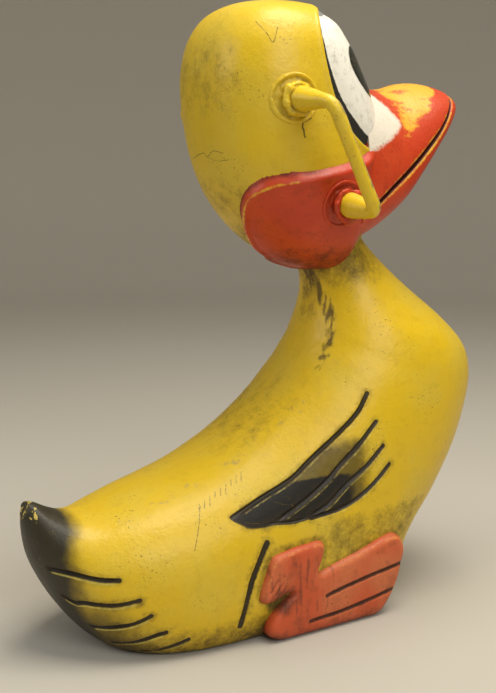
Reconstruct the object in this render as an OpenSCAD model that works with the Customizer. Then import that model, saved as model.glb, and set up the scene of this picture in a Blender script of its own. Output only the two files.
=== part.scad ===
// Playground ride-on duck: hollow painted aluminium castings welded together,
// two welded grab handles, two foot castings and a steel plate for a ground spring.
// Millimetres. The duck faces +X, its right side is -Y, and it stands on z = 0.

/* [Castings] */
// Wall thickness of the body and head castings
wall = 6; // [5:0.5:8]
// Thickness of the cast floor under the body
floor_t = 10; // [8:1:14]
// Number of facets along half a body section
section_steps = 15; // [10:1:18]
// Gap left between neighbouring curved castings
joint_gap = 0.3; // [0.2:0.1:0.6]

/* [Cheeks and bill] */
// How far a cheek pad stands proud of the head
cheek_proud = 8; // [5:1:10]
// Wall thickness of the bill castings
bill_wall = 7; // [5:1:9]
// Height at which the mouth line crosses x = 200
mouth_z = 582; // [576:1:588]
// Slope of the mouth line above the horizontal
mouth_angle = 40; // [37:1:43]

/* [Handles] */
// Diameter of the grip rod
rod_d = 16; // [14:1:18]
// Diameter of a handle stub where it meets its boss
stub_root_d = 30; // [26:1:32]
// Reach of the grip rod from the centre plane
handle_reach = 170; // [165:1:178]
// Diameter of the round boss pads on the head
boss_d = 58; // [54:1:64]
// Thickness of the weld bead round a stub
bead_d = 10; // [8:1:12]

/* [Feet] */
// Distance from the centre plane to the outer face of a foot
foot_face = 134; // [130:1:138]

/* [Spring plate] */
// Thickness of the steel spring plate
plate_t = 8; // [6:1:10]
// Distance between the spring bolt holes along X
spring_bolt_x = 90; // [80:1:100]
// Distance between the spring bolt holes along Y
spring_bolt_y = 80; // [70:1:90]
// Diameter of the spring bolt holes
spring_hole_d = 13; // [11:0.5:14]
// Thread diameter of the bolts that hold the plate
plate_bolt_d = 10; // [8:1:12]

/* [Hidden] */

paint_yellow = "#e0bf2c";
paint_orange = "#cf5a35";
paint_coral = "#d0664f";
bare_steel = "#8d9094";

// Far outside the part, for cutting with half-spaces and prisms
big = 1000;

// A station is one cross-section, in a plane that holds the Y axis direction:
// [back x, back z, front x, front z, half width, place of the widest point from back (0)
//  to front (1), roundness exponent of the back half, and of the front half].
torso_stations = [
    [-316, 186, -324, 168, 10, 0.50, 2.0, 2.0],
    [-307, 184, -322, 148, 22, 0.50, 2.0, 2.0],
    [-292, 176, -316, 118, 38, 0.50, 2.0, 2.0],
    [-272, 168, -302, 86, 56, 0.50, 2.1, 2.0],
    [-248, 166, -280, 50, 76, 0.50, 2.2, 2.1],
    [-214, 174, -250, 14, 96, 0.50, 2.3, 2.4],
    [-180, 184, -210, -10, 109, 0.50, 2.3, 2.8],
    [-143, 194, -162, -22, 117, 0.50, 2.3, 3.3],
    [-106, 206, -108, -25, 121, 0.50, 2.3, 3.6],
    [-72, 222, -50, -25, 123, 0.50, 2.3, 3.6],
    [-40, 241, 14, -25, 124, 0.50, 2.3, 3.6],
    [-10, 264, 80, -25, 124, 0.50, 2.3, 3.6],
    [16, 288, 146, -12, 123, 0.50, 2.3, 3.2],
    [38, 310, 196, 60, 121, 0.50, 2.3, 2.6],
    [51, 324, 245, 116, 119, 0.50, 2.3, 2.4],
    [60, 337, 284, 173, 117, 0.50, 2.3, 2.3],
    [67, 350, 310, 228, 114, 0.50, 2.2, 2.2],
    [71, 363, 322, 278, 110, 0.48, 2.1, 2.2],
    [74, 376, 313, 320, 102, 0.46, 2.0, 2.2],
    [76, 388, 279, 360, 88, 0.46, 2.0, 2.1],
    [77, 402, 222, 406, 70, 0.48, 2.0, 2.0],
    [75, 420, 180, 442, 57, 0.50, 2.0, 2.0],
    [70, 438, 152, 470, 50, 0.50, 2.0, 2.0],
    [62, 456, 138, 492, 48, 0.50, 2.0, 2.0]
];

head_stations = [
    [68, 443, 88, 443, 12, 0.50, 2.0, 2.0],
    [44, 447, 108, 445, 36, 0.50, 2.0, 2.0],
    [8, 460, 128, 456, 60, 0.50, 2.0, 2.0],
    [-22, 482, 142, 478, 78, 0.50, 2.1, 2.1],
    [-47, 510, 152, 506, 92, 0.50, 2.2, 2.2],
    [-65, 540, 158, 538, 101, 0.50, 2.3, 2.3],
    [-77, 574, 158, 574, 107, 0.50, 2.4, 2.3],
    [-84, 610, 154, 612, 109, 0.50, 2.5, 2.3],
    [-87, 645, 142, 647, 109, 0.50, 2.6, 2.3],
    [-86, 682, 124, 680, 107, 0.50, 2.6, 2.3],
    [-77, 718, 104, 714, 100, 0.50, 2.5, 2.3],
    [-58, 745, 86, 741, 83, 0.50, 2.4, 2.2],
    [-30, 759, 64, 757, 52, 0.50, 2.1, 2.1],
    [6, 762, 36, 762, 14, 0.50, 2.0, 2.0]
];

bill_stations = [
    [98, 672, 90, 460, 103, 0.62, 2.5, 2.4],
    [146, 664, 128, 476, 97, 0.66, 2.1, 2.4],
    [182, 664, 168, 505, 90, 0.72, 1.8, 2.4],
    [212, 671, 202, 540, 81, 0.74, 1.8, 2.4],
    [240, 673, 230, 571, 73, 0.72, 1.9, 2.4],
    [265, 669, 256, 600, 63, 0.68, 2.0, 2.4],
    [284, 662, 276, 622, 49, 0.60, 2.0, 2.2],
    [296, 652, 290, 637, 27, 0.50, 2.0, 2.0],
    [299, 647, 296, 643, 9, 0.50, 2.0, 2.0]
];

// Outline of the raised cheek pad, seen from the side
cheek_outline = [
    [118, 574], [29, 566], [-21, 562], [-43, 552], [-52, 535], [-50, 514],
    [-40, 494], [-14, 468], [30, 440], [120, 430], [136, 470]
];

// Outline of the leg and webbed foot, seen from the side
foot_outline = [
    [-65, 96], [-60, 108], [-28, 114], [10, 117], [17, 111], [14, 96], [5, 74], [14, 76],
    [34, 82], [72, 91], [106, 101], [126, 104], [135, 99], [143, 82], [137, 61], [131, 39],
    [119, 18], [107, 4], [96, 0], [-50, 0], [-62, 5], [-67, 15], [-63, 28], [-52, 42],
    [-27, 60], [-44, 56], [-64, 50], [-78, 52], [-76, 64]
];
foot_root = 86;

// Centres of the boss pads on the head and of the elbows of a handle
upper_boss = [-18, 104, 644];
upper_elbow = [-12, handle_reach, 638];
lower_boss = [53, 112, 522];
lower_elbow = [51, handle_reach, 515];
// The bar is a little thicker where it turns
elbow_swell = 1;
boss_t = 14;
boss_sink = 10;

// The neck leans back by this angle, and the sleeve follows it
neck_centre = [106, 0, 454];
neck_lean = 22;
sleeve_r = 34;
sleeve_wall = 5;
sleeve_length = 64;

// The spring plate lies on the cast floor between the feet, and its pad fills the floor's opening
pad_lift = 0.5;
plate_x = 34;
plate_length = 176;
plate_width = 150;
floor_opening = [124, 112];
plate_bolt_span = [152, 126];
bolt_head_h = 7;
washer_t = 2;
hole_clearance = 0.5;
bore_fn = 48;

// Point of a station's section at angle a (0 = back, 180 = front), grown outwards by g.
// Points never go below the height low.
function section_point(s, a, g, low) =
    let (dx = s[2] - s[0], dz = s[3] - s[1], reach = norm([dx, dz]),
         back_half = cos(a) >= 0,
         e = 2 / (back_half ? s[6] : s[7]),
         depth = (back_half ? s[5] * reach : (1 - s[5]) * reach) + g,
         along = s[5] * reach - sign(cos(a)) * depth * pow(abs(cos(a)), e),
         side = (s[4] + g) * pow(abs(sin(a)), e))
    [s[0] + along * dx / reach, -sign(sin(a)) * side, max(low, s[1] + along * dz / reach)];

// Rings of points through a range of stations: the right half, or the whole section
function half_rings(stations, g, low) =
    [for (s = stations) [for (i = [0:section_steps]) section_point(s, 180 * i / section_steps, g, low)]];
function full_rings(stations, g, low) =
    [for (s = stations) [for (i = [0:2 * section_steps - 1])
        section_point(s, 180 * i / section_steps, g, low)]];
function slice(list, first, last) = [for (i = [first:last]) list[i]];

// Closed solid through rings that all have the same number of points
module loft(rings) {
    n = len(rings[0]);
    m = len(rings);
    sides = [for (i = [0:m - 2], j = [0:n - 1]) each [
        [i * n + j, (i + 1) * n + (j + 1) % n, i * n + (j + 1) % n],
        [i * n + j, (i + 1) * n + j, (i + 1) * n + (j + 1) % n]]];
    first_cap = [for (j = [0:n - 1]) j];
    last_cap = [for (j = [n - 1:-1:0]) (m - 1) * n + j];
    polyhedron(points = [for (r = rings) each r], faces = concat(sides, [first_cap, last_cap]));
}

// Keeps a casting that is cut from curved shells as one mesh
module one_casting() {
    resize([0, 0, 0]) children();
}

module mirrored() {
    mirror([0, 1, 0]) children();
}

// Round bar or cone from point p to point q
module bar(p, q, r1, r2) {
    v = q - p;
    translate(p)
        rotate([0, acos(v[2] / norm(v)), atan2(v[1], v[0])])
            cylinder(h = norm(v), r1 = r1, r2 = r2, $fn = bore_fn);
}

module at_plate_bolts() {
    for (sx = [-1, 1], sy = [-1, 1])
        translate([plate_x + sx * plate_bolt_span[0] / 2, sy * plate_bolt_span[1] / 2, 0])
            children();
}

// ---- Body -------------------------------------------------------------------

module torso_cavity() {
    loft(full_rings(slice(torso_stations, 2, 20), -wall, floor_t));
}

module neck_bore(extra) {
    translate(neck_centre)
        rotate([0, -neck_lean, 0])
            cylinder(h = sleeve_length + 2 * extra, r = sleeve_r + joint_gap, center = true,
                     $fn = bore_fn);
}

module torso_right_half() {
    one_casting() difference() {
        loft(half_rings(torso_stations, 0, 0));
        torso_cavity();
        head_body(joint_gap);
        neck_bore(6);
        translate([plate_x, 0, 0]) cube([floor_opening[0], floor_opening[1], 3 * floor_t], center = true);
        at_plate_bolts() cylinder(h = 3 * floor_t, d = plate_bolt_d + hole_clearance, center = true, $fn = 24);
    }
}

module torso_right_shell() {
    color(paint_yellow) torso_right_half();
}

module torso_left_shell() {
    color(paint_yellow) mirrored() torso_right_half();
}

// ---- Head -------------------------------------------------------------------

module head_body(g) {
    loft(full_rings(head_stations, g, 0));
}

module head_right_half() {
    one_casting() difference() {
        loft(half_rings(head_stations, 0, 0));
        loft(full_rings(slice(head_stations, 3, 12), -wall, 0));
        neck_bore(6);
    }
}

module head_right_shell() {
    color(paint_yellow) head_right_half();
}

module head_left_shell() {
    color(paint_yellow) mirrored() head_right_half();
}

module neck_sleeve() {
    color(bare_steel)
        translate(neck_centre)
            rotate([0, -neck_lean, 0])
                difference() {
                    cylinder(h = sleeve_length, r = sleeve_r, center = true, $fn = bore_fn);
                    cylinder(h = sleeve_length + 2, r = sleeve_r - sleeve_wall, center = true, $fn = bore_fn);
                }
}

// ---- Cheeks and bill --------------------------------------------------------

module bill_body(g) {
    loft(full_rings(bill_stations, g, 0));
}

// Everything above the mouth plane, raised by lift
module above_mouth(lift) {
    translate([200, 0, mouth_z])
        rotate([0, -mouth_angle, 0])
            translate([-big / 2, -big / 2, lift]) cube(big);
}

module cheek_right_pad() {
    one_casting() difference() {
        intersection() {
            head_body(cheek_proud);
            translate([0, -40, 0]) rotate([90, 0, 0]) linear_extrude(big) polygon(cheek_outline);
        }
        head_body(joint_gap);
        bill_body(joint_gap);
        loft(full_rings(torso_stations, joint_gap, 0));
    }
}

module cheek_right() {
    color(paint_orange) cheek_right_pad();
}

module cheek_left() {
    color(paint_orange) mirrored() cheek_right_pad();
}

module upper_bill() {
    color(paint_orange) one_casting() difference() {
        intersection() {
            bill_body(0);
            above_mouth(joint_gap);
        }
        head_body(joint_gap);
        intersection() {
            bill_body(-bill_wall);
            above_mouth(bill_wall);
        }
    }
}

module lower_bill() {
    color(paint_orange) one_casting() difference() {
        bill_body(0);
        above_mouth(0);
        head_body(joint_gap);
        loft(full_rings(torso_stations, joint_gap, 0));
    }
}

// ---- Feet -------------------------------------------------------------------

module foot_right_casting() {
    one_casting() difference() {
        translate([0, -foot_root, 0])
            rotate([90, 0, 0]) linear_extrude(foot_face - foot_root) polygon(foot_outline);
        loft(full_rings(torso_stations, joint_gap, 0));
    }
}

module foot_right() {
    color(paint_coral) foot_right_casting();
}

module foot_left() {
    color(paint_coral) mirrored() foot_right_casting();
}

// ---- Handles ----------------------------------------------------------------

// Turns a place given for the left side into the same place on the right side
function on_right(p) = [p[0], -p[1], p[2]];

// Boss pad: a round disc let into the head, its face square to the stub
module boss(centre, elbow) {
    p = on_right(centre);
    out = (on_right(elbow) - p) / norm(elbow - centre);
    bar(p - out * boss_sink, p + out * (boss_t - boss_sink), boss_d / 2, boss_d / 2);
}

// Weld bead: a ring round the root of a stub, lying on the boss
module weld_bead(centre, elbow) {
    p = on_right(centre);
    v = on_right(elbow) - p;
    translate(p + v / norm(v) * (boss_t - boss_sink))
        rotate([0, acos(v[2] / norm(v)), atan2(v[1], v[0])])
            rotate_extrude($fn = bore_fn) translate([stub_root_d / 2 + 1, 0]) circle(d = bead_d, $fn = 24);
}

module right_handle_bar() {
    bar_upper = on_right(upper_elbow);
    bar_lower = on_right(lower_elbow);
    root_upper = on_right(upper_boss);
    root_lower = on_right(lower_boss);
    bar(root_upper, bar_upper, stub_root_d / 2, rod_d / 2);
    bar(root_lower, bar_lower, stub_root_d / 2, rod_d / 2);
    bar(bar_upper, bar_lower, rod_d / 2, rod_d / 2);
    translate(bar_upper) sphere(d = rod_d + elbow_swell, $fn = bore_fn);
    translate(bar_lower) sphere(d = rod_d + elbow_swell, $fn = bore_fn);
}

module handle_right() {
    color(paint_yellow) right_handle_bar();
}

module handle_left() {
    color(paint_yellow) mirrored() right_handle_bar();
}

module upper_boss_right() {
    color(paint_yellow) boss(upper_boss, upper_elbow);
}

module upper_boss_left() {
    color(paint_yellow) mirrored() boss(upper_boss, upper_elbow);
}

module lower_boss_right() {
    color(paint_orange) boss(lower_boss, lower_elbow);
}

module lower_boss_left() {
    color(paint_orange) mirrored() boss(lower_boss, lower_elbow);
}

module upper_weld_right() {
    color(paint_yellow) weld_bead(upper_boss, upper_elbow);
}

module upper_weld_left() {
    color(paint_yellow) mirrored() weld_bead(upper_boss, upper_elbow);
}

module lower_weld_right() {
    color(paint_orange) weld_bead(lower_boss, lower_elbow);
}

module lower_weld_left() {
    color(paint_orange) mirrored() weld_bead(lower_boss, lower_elbow);
}

// ---- Spring plate -----------------------------------------------------------

module spring_plate() {
    color(bare_steel) difference() {
        union() {
            translate([plate_x, 0, floor_t + plate_t / 2])
                cube([plate_length, plate_width, plate_t], center = true);
            translate([plate_x, 0, floor_t / 2 + pad_lift])
                cube([floor_opening[0] - 2 * joint_gap, floor_opening[1] - 2 * joint_gap, floor_t], center = true);
        }
        for (sx = [-1, 1], sy = [-1, 1])
            translate([plate_x + sx * spring_bolt_x / 2, sy * spring_bolt_y / 2, -floor_t])
                cylinder(h = 5 * floor_t, d = spring_hole_d, $fn = bore_fn);
        at_plate_bolts() cylinder(h = 4 * floor_t, d = plate_bolt_d + hole_clearance, $fn = bore_fn);
    }
}

module plate_washers() {
    color(bare_steel) at_plate_bolts()
        translate([0, 0, floor_t + plate_t])
            difference() {
                cylinder(h = washer_t, d = 2 * plate_bolt_d, $fn = bore_fn);
                translate([0, 0, -1]) cylinder(h = washer_t + 2, d = plate_bolt_d + hole_clearance, $fn = bore_fn);
            }
}

module plate_bolts() {
    color(bare_steel) at_plate_bolts() {
        translate([0, 0, 1]) cylinder(h = floor_t + plate_t + washer_t, d = plate_bolt_d, $fn = bore_fn);
        translate([0, 0, floor_t + plate_t + washer_t])
            cylinder(h = bolt_head_h, d = 1.8 * plate_bolt_d, $fn = 6);
    }
}

torso_right_shell();
torso_left_shell();
head_right_shell();
head_left_shell();
cheek_right();
cheek_left();
upper_bill();
lower_bill();
foot_right();
foot_left();
handle_right();
handle_left();
upper_boss_right();
upper_boss_left();
lower_boss_right();
lower_boss_left();
upper_weld_right();
upper_weld_left();
lower_weld_right();
lower_weld_left();
neck_sleeve();
spring_plate();
plate_bolts();
plate_washers();
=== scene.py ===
"""Looks of a playground ride-on duck: enamelled aluminium castings with welded grab handles.

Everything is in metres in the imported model's frame. The duck faces +X, its right side is -Y
and it stands on z = 0. Sizes in the classes below are written in millimetres.
"""
import logging
import math
from dataclasses import dataclass
from enum import Enum
from typing import Callable

import bpy
import numpy as np
from mathutils import Matrix, Vector, noise


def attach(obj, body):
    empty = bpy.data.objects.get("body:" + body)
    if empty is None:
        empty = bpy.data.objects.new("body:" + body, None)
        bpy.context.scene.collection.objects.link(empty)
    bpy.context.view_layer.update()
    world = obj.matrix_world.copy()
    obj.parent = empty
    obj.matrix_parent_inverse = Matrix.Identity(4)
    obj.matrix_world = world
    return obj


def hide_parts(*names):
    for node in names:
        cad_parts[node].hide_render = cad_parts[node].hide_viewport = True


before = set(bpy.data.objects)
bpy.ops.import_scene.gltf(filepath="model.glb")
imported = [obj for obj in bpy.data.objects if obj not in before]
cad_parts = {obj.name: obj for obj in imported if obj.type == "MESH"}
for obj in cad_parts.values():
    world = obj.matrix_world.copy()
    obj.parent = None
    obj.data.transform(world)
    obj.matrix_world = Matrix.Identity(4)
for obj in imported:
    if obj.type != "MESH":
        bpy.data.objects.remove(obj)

MM = 0.001
LOG = logging.getLogger("ride_on_duck")
Points = np.ndarray
Values = np.ndarray


class Side(Enum):
    """The side of the duck that a piece is on, with the sign of its Y."""

    RIGHT = -1
    LEFT = 1

    @property
    def word(self) -> str:
        """The side's name as it stands in a node's name."""
        return self.name.lower()


# ---- Numbers and lines ------------------------------------------------------


def step_up(value: Values, low: float, high: float) -> Values:
    """Rises smoothly from 0 at low to 1 at high.

    Args:
        value: The numbers to shape.
        low: Where the rise starts.
        high: Where it ends.

    Returns:
        The shaped numbers.
    """
    t = np.clip((value - low) / (high - low), 0.0, 1.0)
    return t * t * (3.0 - 2.0 * t)


def bump_at(value: Values, centre: float, reach: float) -> Values:
    """A smooth bump of height 1 at centre that is gone at centre plus or minus reach."""
    q = np.clip(np.abs(value - centre) / reach, 0.0, 1.0)
    return (1.0 - q * q) ** 2


def smooth_line(points: list, per_span: int = 8, closed: bool = False) -> Points:
    """Runs a Catmull-Rom curve through points.

    Args:
        points: The points to pass through, of any dimension.
        per_span: How many steps to take between two of them.
        closed: Whether the curve joins its own start.

    Returns:
        The points of the curve.
    """
    p = np.asarray(points, float)
    if closed:
        p = np.vstack([p[-1], p, p[0], p[1]])
    else:
        p = np.vstack([2 * p[0] - p[1], p, 2 * p[-1] - p[-2]])
    found = []
    for i in range(1, len(p) - 2):
        t = np.linspace(0.0, 1.0, per_span, endpoint=False)[:, None]
        a, b, c, d = p[i - 1], p[i], p[i + 1], p[i + 2]
        found.append(b + 0.5 * t * (c - a + t * (2 * a - 5 * b + 4 * c - d + t * (3 * (b - c) + d - a))))
    if not closed:
        found.append(p[-2][None])
    return np.vstack(found)


def nearest(points: Points, line: Points, reach: float = 30.0) -> tuple[Values, Values]:
    """Distance from each point to a line of straight pieces.

    Args:
        points: Points of the same dimension as the line.
        line: The line's corners in order.
        reach: Points further than this from the line's box are only called far.

    Returns:
        The distances, and how far along the line each nearest place is, from 0 to 1.
    """
    distance = np.full(len(points), 999.0)
    share = np.zeros(len(points))
    close = np.all((points > line.min(0) - reach) & (points < line.max(0) + reach), axis=1)
    near = points[close]
    best = np.full(len(near), 999.0)
    place = np.zeros(len(near))
    lengths = np.linalg.norm(np.diff(line, axis=0), axis=1)
    travelled = np.concatenate([[0.0], np.cumsum(lengths)])
    for i, length in enumerate(lengths):
        run = line[i + 1] - line[i]
        t = np.clip((near - line[i]) @ run / max(length * length, 1e-9), 0.0, 1.0)
        gap = np.linalg.norm(near - line[i] - t[:, None] * run, axis=1)
        better = gap < best
        best = np.where(better, gap, best)
        place = np.where(better, (travelled[i] + t * length) / travelled[-1], place)
    distance[close] = best
    share[close] = place
    return distance, share


def depth_inside(points: Points, outline: Points) -> Values:
    """Distance from each flat point to a closed outline, positive inside it.

    Args:
        points: Points in the outline's plane.
        outline: Its corners in order.

    Returns:
        The signed distances.
    """
    ring = np.vstack([outline, outline[:1]])
    gap, _ = nearest(points, ring, reach=60.0)
    inside = np.zeros(len(points), bool)
    for (x1, y1), (x2, y2) in zip(ring[:-1], ring[1:]):
        if y1 != y2:
            crosses = (points[:, 1] > min(y1, y2)) & (points[:, 1] <= max(y1, y2))
            inside ^= crosses & (points[:, 0] < x1 + (points[:, 1] - y1) * (x2 - x1) / (y2 - y1))
    return np.where(inside, gap, -gap)


def lumps(points: Points, size: float, seed: float) -> Values:
    """Smooth noise from about -1 to 1 whose lumps are about size millimetres across."""
    shift = Vector((seed, 2.0 * seed, 3.0 * seed))
    return np.array([noise.noise(Vector(p) / size + shift) for p in points])


def scuff_gap(points: Points, scuffs: tuple) -> Values:
    """Distance from each point to the edge of the nearest scuff, negative inside one.

    Args:
        points: The vertices of a skin.
        scuffs: Half a width and a line for each scuff. The line is first laid onto the skin.

    Returns:
        The distances.
    """
    gaps = []
    for half_width, corners in scuffs:
        line = smooth_line(corners, 4)
        laid = np.array([points[np.argmin(((points - place) ** 2).sum(1))] for place in line])
        gaps.append(nearest(points, laid, 12.0)[0] - half_width)
    return np.minimum.reduce(gaps)


# ---- Mesh tools -------------------------------------------------------------


def deselect() -> None:
    """Deselects every object, so that an operator acts only on what is picked next."""
    if bpy.context.mode != "OBJECT":
        bpy.ops.object.mode_set(mode="OBJECT")
    bpy.ops.object.select_all(action="DESELECT")


def pick(*pieces: bpy.types.Object) -> None:
    """Selects pieces and makes the first one active."""
    deselect()
    for piece in pieces:
        piece.select_set(True)
    bpy.context.view_layer.objects.active = pieces[0]


def points_of(piece: bpy.types.Object) -> Points:
    """The piece's vertices in millimetres."""
    co = np.empty(len(piece.data.vertices) * 3, np.float32)
    piece.data.vertices.foreach_get("co", co)
    return co.reshape(-1, 3).astype(float) / MM


def move_points(piece: bpy.types.Object, points: Points) -> None:
    """Puts the piece's vertices at points, given in millimetres."""
    piece.data.vertices.foreach_set("co", (points * MM).astype(np.float32).ravel())
    piece.data.update()


def normals_of(piece: bpy.types.Object) -> Points:
    """The piece's vertex normals."""
    found = np.empty(len(piece.data.vertices) * 3, np.float32)
    piece.data.vertices.foreach_get("normal", found)
    return found.reshape(-1, 3).astype(float)


def face_outwards(piece: bpy.types.Object) -> None:
    """Turns the faces of a closed piece outwards, judged by the volume that they enclose."""
    mesh = piece.data
    mesh.calc_loop_triangles()
    corners = np.empty(len(mesh.loop_triangles) * 3, np.int32)
    mesh.loop_triangles.foreach_get("vertices", corners)
    a, b, c = np.moveaxis(points_of(piece)[corners.reshape(-1, 3)], 1, 0)
    if np.einsum("ij,ij->i", a, np.cross(b, c)).sum() < 0:
        mesh.flip_normals()
        mesh.update()


def wrap(name: str, rings: Points, first: Points, last: Points) -> bpy.types.Object:
    """Lays a sphere over rings of points, so that its two poles close the ends.

    Args:
        name: The new piece's name.
        rings: Rings by points by 3, in millimetres.
        first: The place of the first pole.
        last: The place of the last pole.

    Returns:
        The closed piece, its faces outwards.
    """
    count, segments = rings.shape[:2]
    deselect()
    bpy.ops.mesh.primitive_uv_sphere_add(segments=segments, ring_count=count + 1, radius=1.0)
    piece = bpy.context.active_object
    piece.name = name
    piece.data.name = name
    unit = points_of(piece) * MM
    ring = np.rint(np.arccos(np.clip(unit[:, 2], -1, 1)) / math.pi * (count + 1)).astype(int)
    turn = np.rint(np.arctan2(unit[:, 1], unit[:, 0]) / (2 * math.pi) * segments).astype(int) % segments
    laid = rings[np.clip(ring - 1, 0, count - 1), turn]
    laid[ring == 0] = first
    laid[ring == count + 1] = last
    move_points(piece, laid)
    face_outwards(piece)
    return piece


def select_faces(piece: bpy.types.Object, chosen: Values) -> None:
    """Opens the piece in edit mode with only the chosen faces selected."""
    pick(piece)
    mesh = piece.data
    mesh.vertices.foreach_set("select", np.zeros(len(mesh.vertices), bool))
    mesh.edges.foreach_set("select", np.zeros(len(mesh.edges), bool))
    mesh.polygons.foreach_set("select", chosen.astype(bool))
    bpy.context.tool_settings.mesh_select_mode = (False, False, True)
    bpy.ops.object.mode_set(mode="EDIT")


def face_values(piece: bpy.types.Object, values: Values) -> Values:
    """The lowest of the values at each face's corners."""
    mesh = piece.data
    corner = np.empty(len(mesh.loops), np.int32)
    mesh.loops.foreach_get("vertex_index", corner)
    start = np.empty(len(mesh.polygons), np.int32)
    mesh.polygons.foreach_get("loop_start", start)
    return np.minimum.reduceat(values[corner], start)


def refine(piece: bpy.types.Object, gap: Callable[[Points], Values], reach: float, cuts: int) -> None:
    """Subdivides the faces that lie near a line.

    Args:
        piece: The piece to refine.
        gap: Gives each point's distance from the line in millimetres.
        reach: Faces with a corner nearer than this are cut.
        cuts: How many cuts each of their edges gets.
    """
    select_faces(piece, face_values(piece, gap(points_of(piece))) < reach)
    bpy.ops.mesh.subdivide(number_cuts=cuts)
    bpy.ops.object.mode_set(mode="OBJECT")


def mark(piece: bpy.types.Object, name: str, values: Values) -> None:
    """Stores one number from 0 to 1 at each vertex, for a paint layer to read."""
    attribute = piece.data.attributes.new(name, "FLOAT", "POINT")
    attribute.data.foreach_set("value", np.clip(values, 0.0, 1.0).astype(np.float32))


def twin(piece: bpy.types.Object, name: str) -> bpy.types.Object:
    """A copy of the piece with its own mesh."""
    copy = piece.copy()
    copy.data = piece.data.copy()
    copy.name = name
    copy.data.name = name
    bpy.context.scene.collection.objects.link(copy)
    return copy


def flip_side(piece: bpy.types.Object) -> None:
    """Moves the piece to the other side of the centre plane, its faces still outwards."""
    piece.data.transform(Matrix.Scale(-1.0, 4, Vector((0.0, 1.0, 0.0))))
    piece.data.flip_normals()
    piece.data.update()


def mirrored(piece: bpy.types.Object, name: str) -> bpy.types.Object:
    """A copy of the piece on the other side of the centre plane, its faces outwards."""
    copy = twin(piece, name)
    flip_side(copy)
    return copy


def cut_away(piece: bpy.types.Object, place: Vector, normal: Vector, fill: bool) -> None:
    """Cuts off what lies on the normal's side of a plane.

    Args:
        piece: The piece to cut.
        place: A point of the plane, in millimetres.
        normal: The plane's normal.
        fill: Whether the cut is closed with a face.
    """
    pick(piece)
    bpy.ops.object.mode_set(mode="EDIT")
    bpy.ops.mesh.select_all(action="SELECT")
    bpy.ops.mesh.bisect(plane_co=place * MM, plane_no=normal, clear_outer=True, use_fill=fill,
                        threshold=0.00001)
    bpy.ops.object.mode_set(mode="OBJECT")


def modify(piece: bpy.types.Object, kind: str, **settings) -> None:
    """Adds a modifier with its settings and applies it."""
    pick(piece)
    modifier = piece.modifiers.new(kind.lower(), kind)
    for key, value in settings.items():
        setattr(modifier, key, value)
    bpy.ops.object.modifier_apply(modifier=modifier.name)


def shade(piece: bpy.types.Object, angle: float = 40.0) -> None:
    """Shades the piece smooth, with edges kept sharp past an angle in degrees."""
    pick(piece)
    bpy.ops.object.shade_smooth_by_angle(angle=math.radians(angle))


# ---- Forms ------------------------------------------------------------------


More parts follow.
